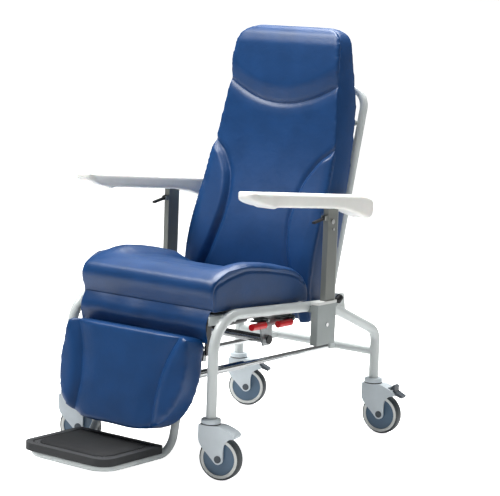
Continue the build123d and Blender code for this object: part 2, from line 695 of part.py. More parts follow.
def strap(distance, width, half, thick):
    """A flat bar across the back of the calf board, some way down from the pad's top."""
    origin = Vector(0, CALF_TOP_FRONT_Y, CALF_TOP_Z) + leg_down * distance + leg_back * strap_face
    with BuildPart() as bar:
        with BuildSketch(Plane(origin=origin, x_dir=(-1, 0, 0), z_dir=leg_back)):
            Rectangle(2 * half, width)
        extrude(amount=thick)
    return bar.part


ARM_X = 224.0
ARM_THICK = 6.0
strap_y = CALF_TOP_FRONT_Y + strap_face / cos(radians(LEG_LEAN))
arm_plate_outline = [
    (LEG_PIVOT_Y - 11, LEG_PIVOT_Z + 4),
    (LEG_PIVOT_Y - 5, LEG_PIVOT_Z + 11),
    (LEG_PIVOT_Y + 6, LEG_PIVOT_Z + 10),
    (LEG_PIVOT_Y + 12, LEG_PIVOT_Z),
    (strap_y + 14, CALF_TOP_Z - 58),
    (strap_y - 9, CALF_TOP_Z - 58),
]
EAR_THICK = 4.0
ear_gap = CLEVIS_GAP / 2 + SIDE_GAP
slot_low = (STRUT_FRONT_Y + SLOT_SHIFT, REAR_CROSS_Z)
slot_high = (STRUT_FRONT_Y + SLOT_SHIFT, REAR_CROSS_Z + SLOT_RISE)
LOW_BAR_Z = 282.0
leg_ear_outline = [
    (sleeve_y(LOW_BAR_Z) - 6, REAR_CROSS_Z + SLOT_RISE + 18),
    (STRUT_FRONT_Y + 14, REAR_CROSS_Z + SLOT_RISE + 18),
    (STRUT_FRONT_Y + 16, REAR_CROSS_Z - 16),
    (STRUT_FRONT_Y - 14, REAR_CROSS_Z - 16),
    (sleeve_y(LOW_BAR_Z) - 6, REAR_CROSS_Z + 8),
]
strap_gap = CALF_TOP_FRONT_Y + 98 - strap_y
strap_thick = strap_gap * cos(radians(LEG_LEAN)) - SLEEVE_R + 3
top_strap = strap(45, 30, ARM_X, strap_thick)
leg_parts = [top_strap, strap(200, 30, SLEEVE_X + 24, strap_thick)]
arms = []
slots = []
sleeve_cores = []
for side in SIDES.values():
    top = (side * SLEEVE_X, sleeve_y(SLEEVE_TOP_Z), SLEEVE_TOP_Z)
    bottom = (side * SLEEVE_X, sleeve_y(SLEEVE_BOTTOM_Z), SLEEVE_BOTTOM_Z)
    leg_parts.append(bar_between(top, bottom, SLEEVE_R))
    sleeve_cores.append(bar_between(top, bottom, FOOT_TUBE_R + PIN_FIT))
    arm_start = ARM_X if side > 0 else -ARM_X - ARM_THICK
    arms.append(plate_x(arm_start, arm_start + ARM_THICK, arm_plate_outline))
    for start in (side * STRUT_X - ear_gap - EAR_THICK, side * STRUT_X + ear_gap):
        leg_parts.append(plate_x(start, start + EAR_THICK, leg_ear_outline))
    for y, z in (slot_low, slot_high):
        slots.append(bar_x(side * STRUT_X - 20, side * STRUT_X + 20, y, z, STRUT_PIN_R + SLOT_SIDE))
    slot_half = STRUT_PIN_R + SLOT_SIDE
    slot_body = [
        (slot_low[0] - slot_half, slot_low[1]),
        (slot_low[0] + slot_half, slot_low[1]),
        (slot_high[0] + slot_half, slot_high[1]),
        (slot_high[0] - slot_half, slot_high[1]),
    ]
    slots.append(plate_x(side * STRUT_X - 20, side * STRUT_X + 20, slot_body))
leg_parts.append(bar_x(-SLEEVE_X, SLEEVE_X, sleeve_y(LOW_BAR_Z) - 2, LOW_BAR_Z, 8))
keep("legrest_frame", joined(leg_parts, [*slots, *sleeve_cores]))
leg_bore = bar_x(-ARM_X - 20, ARM_X + 20, LEG_PIVOT_Y, LEG_PIVOT_Z, LEG_PIN_R + PIN_FIT)
keep("legrest_arms", joined(arms, [leg_bore]))

# ================================================================ footrest
foot_top_z = 300.0
heel_y = sleeve_y(FOOT_TUBE_Z)
foot_path = [
    (SLEEVE_X, sleeve_y(foot_top_z), foot_top_z),
    (SLEEVE_X, heel_y, FOOT_TUBE_Z),
    (SLEEVE_X, FOOT_FRONT_Y, FOOT_TUBE_Z),
    (-SLEEVE_X, FOOT_FRONT_Y, FOOT_TUBE_Z),
    (-SLEEVE_X, heel_y, FOOT_TUBE_Z),
    (-SLEEVE_X, sleeve_y(foot_top_z), foot_top_z),
]
foot_bends = [FOOT_BEND_R, FOOT_CORNER_R, FOOT_CORNER_R, FOOT_BEND_R]
foot_tube = swept_tube(foot_path, foot_bends, FOOT_TUBE_R)
with BuildPart() as foot_sheet:
    with BuildSketch(Plane.XY.offset(FOOT_TUBE_Z + FOOT_TUBE_R - 5)) as face:
        with Locations((0, (FOOT_FRONT_Y + MAT_REAR_Y - 6) / 2)):
            Rectangle(2 * SLEEVE_X, MAT_REAR_Y - FOOT_FRONT_Y - 6)
        fillet(face.vertices(), FOOT_CORNER_R)
    extrude(amount=3)
foot_frame = joined([foot_tube, foot_sheet.part])
keep("foot_frame", foot_frame)

mat_base_z = FOOT_TUBE_Z + FOOT_TUBE_R
with BuildPart() as foot_mat:
    with BuildSketch(Plane.XY.offset(mat_base_z - MAT_SKIRT)) as face:
        with Locations((0, (MAT_FRONT_Y + MAT_REAR_Y) / 2)):
            Rectangle(2 * MAT_HALF, MAT_REAR_Y - MAT_FRONT_Y)
        fillet(face.vertices().group_by(Axis.Y)[0], MAT_CORNER_R)
        fillet(face.vertices().group_by(Axis.Y)[-1], 12)
    extrude(amount=MAT_TOP_Z - mat_base_z + MAT_SKIRT)
    # the skirt hangs round the tube, so the underside is hollow
    with BuildSketch(Plane.XY.offset(mat_base_z - MAT_SKIRT)) as face:
        with Locations((0, (MAT_FRONT_Y + 4 + MAT_REAR_Y + 4) / 2)):
            Rectangle(2 * MAT_HALF - 8, MAT_REAR_Y - MAT_FRONT_Y)
        fillet(face.vertices().group_by(Axis.Y)[0], MAT_CORNER_R - 4)
    extrude(amount=MAT_SKIRT, mode=Mode.SUBTRACT)
    # sunken tread inside a raised border
    with BuildSketch(Plane.XY.offset(MAT_TOP_Z - 2)) as face:
        with Locations((0, (MAT_FRONT_Y + MAT_REAR_Y) / 2)):
            Rectangle(2 * MAT_HALF - 36, MAT_REAR_Y - MAT_FRONT_Y - 36)
        fillet(face.vertices().group_by(Axis.Y)[0], MAT_CORNER_R - 18)
    extrude(amount=2, mode=Mode.SUBTRACT)
    add(foot_frame, mode=Mode.SUBTRACT)
keep("foot_mat", foot_mat.part)

# ================================================================ legrest struts
for name, side in SIDES.items():
    x = side * STRUT_X
    half = CLEVIS_GAP / 2 - 1
    rear_eye = bar_x(x - half, x + half, STRUT_REAR_Y, REAR_CROSS_Z, 9)
    rod_end_y = STRUT_TUBE_END_Y - STRUT_INSERT
    rod = bar_between((x, STRUT_REAR_Y, REAR_CROSS_Z), (x, rod_end_y, REAR_CROSS_Z), STRUT_ROD_R)
    rod_bore = bar_x(x - 20, x + 20, STRUT_REAR_Y, REAR_CROSS_Z, STRUT_PIN_R + PIN_FIT)
    clear_ears = [
        plate_x(x - half - 10, x - half, clevis_room),
        plate_x(x + half, x + half + 10, clevis_room),
    ]
    keep(f"strut_rod_{name}", joined([rear_eye, rod], [rod_bore, *clear_ears]))

    tube_front_y = STRUT_FRONT_Y + STRUT_NECK
    body = bar_between((x, STRUT_TUBE_END_Y, REAR_CROSS_Z), (x, tube_front_y, REAR_CROSS_Z), STRUT_TUBE_R)
    core = bar_between(
        (x, STRUT_TUBE_END_Y + 1, REAR_CROSS_Z), (x, rod_end_y - 4, REAR_CROSS_Z), STRUT_ROD_R + PIN_FIT
    )
    front_eye = bar_x(x - half, x + half, STRUT_FRONT_Y, REAR_CROSS_Z, 9)
    front_eye_at = (x, STRUT_FRONT_Y, REAR_CROSS_Z)
    eye_neck = bar_between(front_eye_at, (x, tube_front_y + 2, REAR_CROSS_Z), half + 0.5)
    pin_half = ear_gap + EAR_THICK
    front_pin = bar_x(x - pin_half, x + pin_half, STRUT_FRONT_Y, REAR_CROSS_Z, STRUT_PIN_R)
    keep(f"strut_tube_{name}", joined([body, front_eye, eye_neck, front_pin], [core]))

# ================================================================ actuator tube and its brackets
HANGER_THICK = 5.0
actuator = bar_x(-ACTUATOR_HALF, ACTUATOR_HALF, ACTUATOR_Y, ACTUATOR_Z, CROSS_TUBE_R)
spring_lug_outline = [
    (ACTUATOR_Y, ACTUATOR_Z - 8),
    (ACTUATOR_Y + 34, ACTUATOR_Z - 8),
    (ACTUATOR_Y + 34, ACTUATOR_Z + 8),
    (ACTUATOR_Y, ACTUATOR_Z + 8),
]
SPRING_START_Y = ACTUATOR_Y + 26
spring_lugs = [
    plate_x(-EYE_HALF - 5, -EYE_HALF - 1, spring_lug_outline),
    plate_x(EYE_HALF + 1, EYE_HALF + 5, spring_lug_outline),
    bar_x(-EYE_HALF - 5, EYE_HALF + 5, SPRING_START_Y, ACTUATOR_Z, SPRING_PIN_R),
]
actuator_tube = joined([actuator, *spring_lugs])
keep("actuator_tube", actuator_tube)

end_cap = bar_x(ACTUATOR_HALF, ACTUATOR_HALF + 4, ACTUATOR_Y, ACTUATOR_Z, CROSS_TUBE_R + 0.5)
keep("actuator_caps", joined([end_cap, mirrored(end_cap)]))

hanger_outline = [
    (ACTUATOR_Y - 18, ACTUATOR_Z - 18),
    (ACTUATOR_Y + 18, ACTUATOR_Z - 18),
    (ACTUATOR_Y + 24, LEVER_PIVOTS["back"][1] - 16),
    (LEVER_PIVOTS["back"][0] + 14, LEVER_PIVOTS["back"][1] - 14),
    (LEVER_PIVOTS["back"][0] + 14, BOARD_BASE_Z),
    (ACTUATOR_Y - 70, BOARD_BASE_Z),
    (ACTUATOR_Y - 70, BOARD_BASE_Z - 26),
    (ACTUATOR_Y - 34, LEVER_PIVOTS["legs"][1] - 14),
]
hanger = plate_x(LEVER_PLATE_X, LEVER_PLATE_X + HANGER_THICK, hanger_outline)
lever_pins = []
pin_start = LEVER_PLATE_X + HANGER_THICK
LEVER_ARM_X = pin_start + 1.0
LEVER_ARM_WIDTH = 16.0
for y, z in LEVER_PIVOTS.values():
    lever_pins.append(bar_x(pin_start, LEVER_ARM_X + LEVER_ARM_WIDTH + 3, y, z, 4))
hangers = joined([hanger, mirrored(hanger), *lever_pins], [actuator, *seat_tubes])
keep("actuator_brackets", hangers)

# release levers: a dark arm on the pin and a red grip
for name, (y, z) in LEVER_PIVOTS.items():
    grip_z = z - 9
    grip_rear_y = y - 26
    hub = bar_x(LEVER_ARM_X, LEVER_ARM_X + LEVER_ARM_WIDTH, y, z, 8)
    blade_outline = [
        (y, z + 6),
        (y, z - 4),
        (grip_rear_y - 20, z - 1),
        (grip_rear_y - 40, z + 2),
        (grip_rear_y - 40, z + 6),
    ]
    blade = plate_x(LEVER_ARM_X, LEVER_ARM_X + LEVER_ARM_WIDTH, blade_outline)
    core_x = LEVER_ARM_X + LEVER_ARM_WIDTH - 2
    reach = bar_x(core_x, LEVER_GRIP_X + 4, grip_rear_y + 6, z - 1, 5)
    rod = bar_between(
        (LEVER_GRIP_X, grip_rear_y + 10, grip_z), (LEVER_GRIP_X, grip_rear_y - GRIP_LENGTH + 8, grip_z), 4
    )
    grip = bar_between(
        (LEVER_GRIP_X, grip_rear_y, grip_z), (LEVER_GRIP_X, grip_rear_y - GRIP_LENGTH, grip_z), GRIP_R
    )
    pin_bore = bar_x(LEVER_ARM_X - 5, LEVER_ARM_X + LEVER_ARM_WIDTH + 5, y, z, 4 + PIN_FIT)
    keep(f"release_arm_{name}", joined([hub, blade, reach, rod], [grip, pin_bore]))
    keep(f"release_grip_{name}", grip)

# ================================================================ back gas spring
spring_start = Vector(0, SPRING_START_Y, ACTUATOR_Z)
spring_end = Vector(0, SPRING_END_Y, SPRING_END_Z)
spring_dir = (spring_end - spring_start).normalized()
body_start = spring_start + spring_dir * 12
body_end = spring_start + spring_dir * SPRING_BODY_LENGTH
spring_bore = bar_x(-20, 20, SPRING_START_Y, ACTUATOR_Z, SPRING_PIN_R + PIN_FIT)
spring_eye = bar_x(-EYE_HALF, EYE_HALF, SPRING_START_Y, ACTUATOR_Z, 8)
spring_body = bar_between(body_start, body_end, SPRING_BODY_R)
spring_neck = bar_between(spring_start, body_start + spring_dir, EYE_HALF - 1)
tip_clear = [
    plate_x(-EYE_HALF - 8, -EYE_HALF, spring_lug_outline),
    plate_x(EYE_HALF, EYE_HALF + 8, spring_lug_outline),
]
rod_core = bar_between(body_start + spring_dir * 60, body_end + spring_dir, SPRING_ROD_R + PIN_FIT)
body_cuts = [spring_bore, rod_core, *tip_clear, actuator]
keep("gas_spring_body", joined([spring_eye, spring_neck, spring_body], body_cuts))
rod_start = body_start + spring_dir * 112
spring_rod = bar_between(rod_start, spring_end - spring_dir * 5, SPRING_ROD_R)
rod_eye = bar_x(-EYE_HALF, EYE_HALF, SPRING_END_Y, SPRING_END_Z, 7.5)
pin_reach = EYE_HALF + SIDE_GAP + CRANK_THICK
rod_pin = bar_x(-pin_reach, pin_reach, SPRING_END_Y, SPRING_END_Z, SPRING_PIN_R)
keep("gas_spring_rod", joined([spring_rod, rod_eye, rod_pin]))

# ================================================================ castors
axle_x, axle_z = CASTOR_TRAIL, WHEEL_R
fork_half = WHEEL_WIDTH / 2 + FORK_CLEARANCE + FORK_WALL
fork_top_z = CASTOR_HEIGHT - COLLAR_HEIGHT - RACE_GAP
arch_r = WHEEL_R + 4


def fork(braked):
    """Swivelling fork, drawn with its wheel trailing along +X: collar, race, arch, two arms and axle."""
    with BuildPart() as housing:
        with BuildSketch(Plane.XZ.offset(-fork_half)):
            with BuildLine():
                Line((-COLLAR_R, fork_top_z), (COLLAR_R + 2, fork_top_z))
                Spline((COLLAR_R + 2, fork_top_z), (58, 148), (84, 131), tangents=((1, -0.05), (0.6, -1)))
                Line((84, 131), (80, 124))
                Spline((80, 124), (56, 112), (axle_x + HUB_R, axle_z), tangents=((-1, 0.1), (0, -1)))
                ThreePointArc(
                    (axle_x + HUB_R, axle_z),
                    (axle_x + 3, axle_z - HUB_R + 0.5),
                    (axle_x - HUB_R + 3, axle_z - 9),
                )
                Spline(
                    (axle_x - HUB_R + 3, axle_z - 9),
                    (-8, 84),
                    (-COLLAR_R, 122),
                    tangents=((-0.8, 0.9), (0, 1)),
                )
                Line((-COLLAR_R, 122), (-COLLAR_R, fork_top_z))
            make_face()
        extrude(amount=2 * fork_half)
        with BuildSketch(Plane.XZ.offset(-WHEEL_WIDTH / 2 - FORK_CLEARANCE)):
            with Locations((axle_x, axle_z)):
                Circle(arch_r)
        extrude(amount=WHEEL_WIDTH + 2 * FORK_CLEARANCE, mode=Mode.SUBTRACT)
        with BuildSketch(Plane.XY.offset(fork_top_z)):
            Circle(COLLAR_R - 4)
        extrude(amount=RACE_GAP)
        with BuildSketch(Plane.XY.offset(fork_top_z + RACE_GAP)):
            Circle(COLLAR_R)
        extrude(amount=COLLAR_HEIGHT)
        fillet(housing.edges().filter_by(GeomType.CIRCLE).group_by(Axis.Z)[-1], 4)
        with BuildSketch(Plane.XZ.offset(-fork_half)):
            with Locations((axle_x, axle_z)):
                Circle(AXLE_R)
        extrude(amount=2 * fork_half)
        if braked:
            with BuildSketch(Plane.XZ.offset(-PEDAL_WIDTH / 2 - 1)):
                with Locations(PEDAL_PIVOT):
                    Circle(17)
            extrude(amount=PEDAL_WIDTH + 2, mode=Mode.SUBTRACT)
            with BuildSketch(Plane.XZ.offset(-fork_half)):
                with Locations(PEDAL_PIVOT):
                    Circle(PEDAL_PIN_R)
            extrude(amount=2 * fork_half)
    return housing.part


def wheel_disc():
    with BuildPart() as disc:
        with BuildSketch(Plane.XZ.offset(-DISC_WIDTH / 2)):
            with Locations((axle_x, axle_z)):
                Circle(DISC_R)
                Circle(AXLE_R + PIN_FIT, mode=Mode.SUBTRACT)
        extrude(amount=DISC_WIDTH)
        with BuildSketch(Plane.XZ.offset(-WHEEL_WIDTH / 2 - 1)):
            with Locations((axle_x, axle_z)):
                Circle(HUB_R - 3)
                Circle(AXLE_R + PIN_FIT, mode=Mode.SUBTRACT)
        extrude(amount=WHEEL_WIDTH + 2)
    return disc.part


def tyre():
    with BuildPart() as ring:
        with BuildSketch(Plane.XZ.offset(-WHEEL_WIDTH / 2)):
            with Locations((axle_x, axle_z)):
                Circle(WHEEL_R)
                Circle(DISC_R, mode=Mode.SUBTRACT)
        extrude(amount=WHEEL_WIDTH)
        rim = ring.edges().filter_by(GeomType.CIRCLE).sort_by(SortBy.RADIUS)[-2:]
        fillet(rim, 9)
    return ring.part


def pedal():
    """Brake pedal: a rocker on a pin at the fork's tail, with an upper nub and a lower tread."""
    px, pz = PEDAL_PIVOT
    with BuildPart() as rocker:
        with BuildSketch(Plane.XZ.offset(-PEDAL_WIDTH / 2)):
            with Locations(PEDAL_PIVOT):
                Circle(8)
            with BuildLine():
                Polyline(
                    (px - 5, pz + 5), (px + 1, pz + 18), (px + 9, pz + 15), (px + 9, pz - 1),
                    (px + 34, pz - 14), (px + 32, pz - 21), (px + 8, pz - 13), (px, pz - 6), close=True,
                )
            make_face()
            with Locations(PEDAL_PIVOT):
                Circle(PEDAL_PIN_R + PIN_FIT, mode=Mode.SUBTRACT)
        extrude(amount=PEDAL_WIDTH)
    return rocker.part


plain_fork, braked_fork = fork(False), fork(True)
disc_part, tyre_part, pedal_part = wheel_disc(), tyre(), pedal()
for corner, aim in CASTOR_AIM.items():
    end, name = corner.split("_")
    stem = (SIDES[name] * STEM_X, FRONT_Y if end == "front" else REAR_Y, 0)
    place = Location(stem, (0, 0, aim))
    keep(f"castor_fork_{corner}", (plain_fork if end == "front" else braked_fork).moved(place))
    keep(f"castor_disc_{corner}", disc_part.moved(place))
    keep(f"castor_tyre_{corner}", tyre_part.moved(place))
    if end == "rear":
        keep(f"brake_pedal_{corner}", pedal_part.moved(place))
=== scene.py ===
"""Finishes the patient recliner chair: sewn cushions, moulded pads, ribbed footmat, castor details and materials.
Run as a script in Blender 4.5. Everything is in metres, +Z up, the sitter faces -Y, the floor is z = 0."""

import json
import math

import bmesh
import bpy
import numpy as np
from mathutils import Matrix, Vector


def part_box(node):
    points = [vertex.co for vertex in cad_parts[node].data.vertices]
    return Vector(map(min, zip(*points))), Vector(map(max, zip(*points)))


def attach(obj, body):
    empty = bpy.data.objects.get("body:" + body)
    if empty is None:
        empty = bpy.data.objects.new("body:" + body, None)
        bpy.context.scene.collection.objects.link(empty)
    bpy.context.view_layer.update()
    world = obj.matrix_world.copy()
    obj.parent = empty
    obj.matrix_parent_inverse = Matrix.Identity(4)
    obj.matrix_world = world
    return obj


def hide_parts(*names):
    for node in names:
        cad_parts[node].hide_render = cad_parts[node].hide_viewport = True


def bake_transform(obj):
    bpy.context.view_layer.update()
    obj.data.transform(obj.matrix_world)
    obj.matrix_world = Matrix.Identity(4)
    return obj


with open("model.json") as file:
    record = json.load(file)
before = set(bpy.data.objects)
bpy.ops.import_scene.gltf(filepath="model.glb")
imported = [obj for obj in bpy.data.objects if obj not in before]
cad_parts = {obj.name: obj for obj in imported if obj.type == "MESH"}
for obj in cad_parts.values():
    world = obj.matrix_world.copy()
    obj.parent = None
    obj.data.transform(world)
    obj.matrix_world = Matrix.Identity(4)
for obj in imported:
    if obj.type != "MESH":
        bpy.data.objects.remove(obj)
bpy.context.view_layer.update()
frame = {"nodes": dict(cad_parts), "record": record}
RECORD = frame["record"]
NODES = frame["nodes"]
MOUNTS = {m["name"]: m["pos_m"] for m in RECORD["mounts"]}

bl_info = {
    "name": "Patient recliner chair",
    "version": (1, 0, 0),
    "blender": (4, 5, 0),
    "location": "View3D > Sidebar > Recliner",
    "description": "Cushions, armrests, footmat, castor details and finishes of a wheeled patient recliner",
    "category": "Object",
}

MM = 0.001
SIDES = {"left": 1, "right": -1}
CORNERS = ("front_left", "front_right", "rear_left", "rear_right")

# ================================================================ seam lines and swells, in mm
# the curve sewn under the head pillow: height above the floor against distance from the middle
PILLOW_SEAM_EDGE = 207.0
PILLOW_SEAM_LOW = 1012.0
PILLOW_SEAM_RISE = 66.0
# the side wing's inner seam on the backrest, (x, z)
WING_SEAM = (
    (238, 898), (206, 871), (182, 851), (156, 815), (141, 788), (130, 750), (124, 705), (125, 660), (132, 620),
    (143, 577), (158, 536), (180, 480), (200, 420),
)
# the edge seam round the backrest's face, (x, y, z)
BACK_EDGE = (
    (243, 62, 440), (245, 79, 533), (246, 101, 631), (238, 138, 728), (234, 172, 820), (232, 197, 893),
    (221, 216, 985), (208, 233, 1085), (201, 243, 1150), (189, 258, 1205), (160, 272, 1238), (90, 280, 1247),
    (0, 281, 1248),
)
# how far each panel of the backrest swells, and over what distance from its seam it comes up
WING_LIFT, WING_ROLL, WING_TOP, WING_EDGE = 13, 18, 905, 252
PILLOW_LIFT, PILLOW_ROLL, PILLOW_TOP = 13, 60, 1250
PANEL_LIFT, PANEL_ROLL = 3, 40
LUMBAR_LIFT, LUMBAR_HEIGHT, LUMBAR_HALF_TALL, LUMBAR_HALF_WIDE = 3, 640, 90, 110
# depth and half width of the sewn grooves: the backrest's panels and edge, the seat's side, the calf pad's channels
PANEL_GROOVE = (3.0, 3.2)
EDGE_GROOVE = (1.8, 3.0)
SEAT_GROOVE = (3.4, 3.6)
CALF_GROOVE = (2.6, 3.2)
# half width of the strip beside a seam that the stitches hold down
STITCHED = 8
# how square to the front a face stands where a panel swells and where a groove shows
PANEL_FACING = (0.25, 0.7)
GROOVE_FACING = (0.2, 0.6)
# the height of the seat's side bolsters, (y, z)
SEAT_CREST = (
    (-394, 508), (-389, 532), (-378, 549), (-358, 560), (-320, 572), (-260, 583), (-222, 585), (-150, 578),
    (-89, 568), (-10, 551), (40, 526), (73, 500), (100, 475),
)
# the side seam's first stretch, up the seat's front, (y, z), and how far it runs below the crest
SEAT_SEAM_START = ((-384, 470), (-383, 510), (-374, 532), (-352, 546))
SEAT_SEAM_DROP = 20
# the fall of the seat's outer rim and the dish of its middle, each with the x or y that it fades over
RIM_FALL, RIM_FADE = 30, (232, 262)
DISH_DEPTH, DISH_SIDE_FADE, DISH_FRONT_FADE = 27, (150, 214), (-345, -225)
SEAT_CORNER, SEAT_CORNER_WIDE = 244, 9
SEAT_UNDERCUT, SEAT_EDGE_FALL = 9, 13
# the calf pad's two channels, (x, z)
CALF_SEAM = ((192, 402), (184, 385), (172, 362), (154, 315), (145, 270), (140, 225), (142, 180), (143, 150), (143, 116))
# how far the calf pad leans forward for each millimetre down
CALF_LEAN = math.tan(math.radians(12.5))
# the calf pad's side rolls and middle, how far it stands forward and how far its lower end is drawn up
CALF_ROLL, CALF_MIDDLE, CALF_FORWARD, CALF_DRAWN_UP = 9, 6, 17, 13
# the flap under the seat, seen from the side, (y, z), and half its width
FLAP_LINE = ((-381, 467), (-388, 456), (-397, 439), (-400, 421), (-397, 404), (-393, 390), (-391, 376))
FLAP_HALF = 236.0
CLOTH_THICKNESS = 0.0011

# ================================================================ small pieces, in metres
MAT_BORDER = 0.019
RIB_WIDTH, RIB_HEIGHT, RIB_ROUND = 0.0044, 0.0052, 0.0010
MAT_CORNER, STUD_CORNER = 0.045, 0.026
STUD_RADIUS, STUD_PITCH = 0.0024, 0.0085
RING_RADIUS, RING_THICK, RING_FLAT, RING_OUT = 0.0520, 0.0046, 0.25, 0.0152
CAP_RADIUS, CAP_DEPTH, CAP_ROUND, CAP_OUT = 0.0105, 0.003, 0.0008, 0.0238
RACE_RADIUS, RACE_THICK, RACE_DROP = 0.0264, 0.0019, 0.0145

# ================================================================ texture scales, in cells to the metre
COVER_GRAIN = 650.0  # 1.5 mm leather grain
COVER_PRINT = 14.0  # 70 mm clouds
COVER_PULL = 38.0  # 26 mm waves where the cover is pulled
COAT_PEEL = 420.0  # 2.4 mm orange peel
COAT_DUST = 9.0  # 110 mm patches
WIPE_STRETCH = (60.0, 60.0, 12.0)  # wiping marks 5 mm wide and 30 mm long, with the scale of 3 below
DRAWN_STRETCH = (900.0, 900.0, 4.0)  # drawn lines 1 mm apart and 250 mm long
MOULD_CLOUD = 16.0  # 60 mm clouds
SKIN_GRAIN = 700.0  # 1.4 mm grain
SKIN_SOIL = 11.0  # 90 mm patches
RUBBER_BLOOM = 22.0  # 45 mm patches
RUBBER_PORES = 1400.0  # 0.7 mm pores
FLOOR_CLOUD = 2.0  # 500 mm clouds
# where along a noise the base colour starts and stops changing
SHADE_STEPS = (0.35, 0.65)


def linear(hex_colour):
    """Linear RGBA of an sRGB hex colour."""
    value = hex_colour.lstrip("#")
    parts = [int(value[i:i + 2], 16) / 255 for i in (0, 2, 4)]
    return [p / 12.92 if p <= 0.04045 else ((p + 0.055) / 1.055) ** 2.4 for p in parts] + [1.0]


# ================================================================ settings
class ChairSizes(bpy.types.PropertyGroup):
    """Sizes of the pieces that are modelled here."""

    voxel: bpy.props.FloatProperty(
        name="Cushion mesh", description="Size of a cushion's mesh cells before its last subdivision",
        default=0.006, min=0.003, max=0.02, unit="LENGTH")
    pressure: bpy.props.FloatProperty(
        name="Stuffing pressure", description="How hard the foam presses its cover outwards",
        default=4.0, min=0.0, max=10.0)
    seam_depth: bpy.props.FloatProperty(
        name="Seam depth", description="How far a sewn seam pulls the cover into the foam",
        default=0.0045, min=0.0, max=0.02, unit="LENGTH")
    rib_pitch: bpy.props.FloatProperty(
        name="Mat rib pitch", description="Distance from one rib of the footmat to the next",
        default=0.0085, min=0.004, max=0.02, unit="LENGTH")
    flap_fold: bpy.props.FloatProperty(
        name="Flap folds", description="Depth of the soft folds in the flap below the seat",
        default=0.0022, min=0.0, max=0.006, unit="LENGTH")


class ChairColours(bpy.types.PropertyGroup):
    """Colours that a user would change."""

    cover: bpy.props.StringProperty(name="Cover", description="Coated fabric of the cushions", default="#0d3c6e")
    frame_paint: bpy.props.StringProperty(name="Frame", description="Powder coat of the tube frame", default="#cfd5d4")
    arm_skin: bpy.props.StringProperty(name="Armrests", description="Foamed skin of the armrests", default="#f0f0eb")
    grip: bpy.props.StringProperty(name="Grips", description="Dipped grips of the release levers", default="#d0101a")
    castor: bpy.props.StringProperty(name="Castors", description="Moulded housings of the castors", default="#ccd5da")


# ================================================================ materials
def add(tree, kind, settings=None, links=None):
    """Adds a node, gives its properties or sockets their values, and links sockets from (node, output) pairs."""
    made = tree.nodes.new(kind)
    for key, value in (settings or {}).items():
        if isinstance(key, str) and hasattr(made, key):
            setattr(made, key, value)
        else:
            made.inputs[key].default_value = value
    for key, (source, output) in (links or {}).items():
        tree.links.new(source.outputs[output], made.inputs[key])
    return made


def surface(name, settings):
    """A new material, its node tree, its shader and the link from its object coordinates."""
    made = bpy.data.materials.new(name)
    made.use_nodes = True
    tree = made.node_tree
    shader = tree.nodes["Principled BSDF"]
    for key, value in settings.items():
        shader.inputs[key].default_value = value
    place = {"Vector": (add(tree, "ShaderNodeTexCoord"), "Object")}
    return made, tree, shader, place


def shade_between(tree, shader, factor, low, high):
    """Base colour that runs from low to high, two linear colours, with a factor."""
    ramp = add(tree, "ShaderNodeValToRGB", links={"Fac": factor})
    for element, step, colour in zip(ramp.color_ramp.elements, SHADE_STEPS, (low, high)):
        element.position = step
        element.color = colour
    tree.links.new(ramp.outputs["Color"], shader.inputs["Base Color"])


def vary_roughness(tree, shader, factor, low, high):
    """Roughness that runs from low to high with a factor."""
    span = add(tree, "ShaderNodeMapRange", {"To Min": low, "To Max": high}, {"Value": factor})
    tree.links.new(span.outputs["Result"], shader.inputs["Roughness"])


def raise_by(tree, shader, height, distance, strength=1.0, under=None):
    """Bump from a height socket, on top of another bump if one is given."""
    links = {"Height": height}
    if under:
        links["Normal"] = (under, "Normal")
    made = add(tree, "ShaderNodeBump", {"Strength": strength, "Distance": distance}, links)
    tree.links.new(made.outputs["Normal"], shader.inputs["Normal"])
    return made


def tinted(colour, gain):
    """A linear colour made lighter or darker."""
    return [min(1.0, c * gain) for c in colour[:3]] + [1.0]


def coated_cover(name, hex_colour):
    """Polyurethane-coated polyester upholstery: embossed with a fine leather grain about 1.5 mm across.
    The coat gives soft broad highlights; the print under it makes a faint cloudiness."""
    colour = linear(hex_colour)
    made, tree, shader, place = surface(name, {"IOR": 1.46})
    cells = add(
        tree, "ShaderNodeTexVoronoi", {"feature": "DISTANCE_TO_EDGE", "Scale": COVER_GRAIN, "Randomness": 1.0}, place)
    broad = add(tree, "ShaderNodeTexNoise", {"Scale": COVER_PRINT, "Detail": 3.0}, place)
    pull = add(tree, "ShaderNodeTexNoise", {"Scale": COVER_PULL, "Detail": 2.0, "Distortion": 0.6}, place)
    shade_between(tree, shader, (broad, "Fac"), tinted(colour, 0.92), tinted(colour, 1.08))
    vary_roughness(tree, shader, (broad, "Fac"), 0.33, 0.42)
    soft = raise_by(tree, shader, (pull, "Fac"), 0.0016, 0.35)
    raise_by(tree, shader, (cells, "Distance"), 0.00022, 0.5, soft)
    return made


def powder_coat(name, hex_colour, rough=0.34, peel=0.35):
    """Baked polyester powder coat on steel: a slight orange peel of 2 mm waves under a satin gloss."""
    colour = linear(hex_colour)
    made, tree, shader, place = surface(name, {"IOR": 1.5, "Coat Weight": 0.25, "Coat Roughness": 0.18})
    waves = add(tree, "ShaderNodeTexNoise", {"Scale": COAT_PEEL, "Detail": 1.0}, place)
    dust = add(tree, "ShaderNodeTexNoise", {"Scale": COAT_DUST, "Detail": 4.0}, place)
    shade_between(tree, shader, (dust, "Fac"), tinted(colour, 0.95), tinted(colour, 1.04))
    vary_roughness(tree, shader, (dust, "Fac"), rough - 0.04, rough + 0.06)
    raise_by(tree, shader, (waves, "Fac"), 0.0003, peel)
    return made


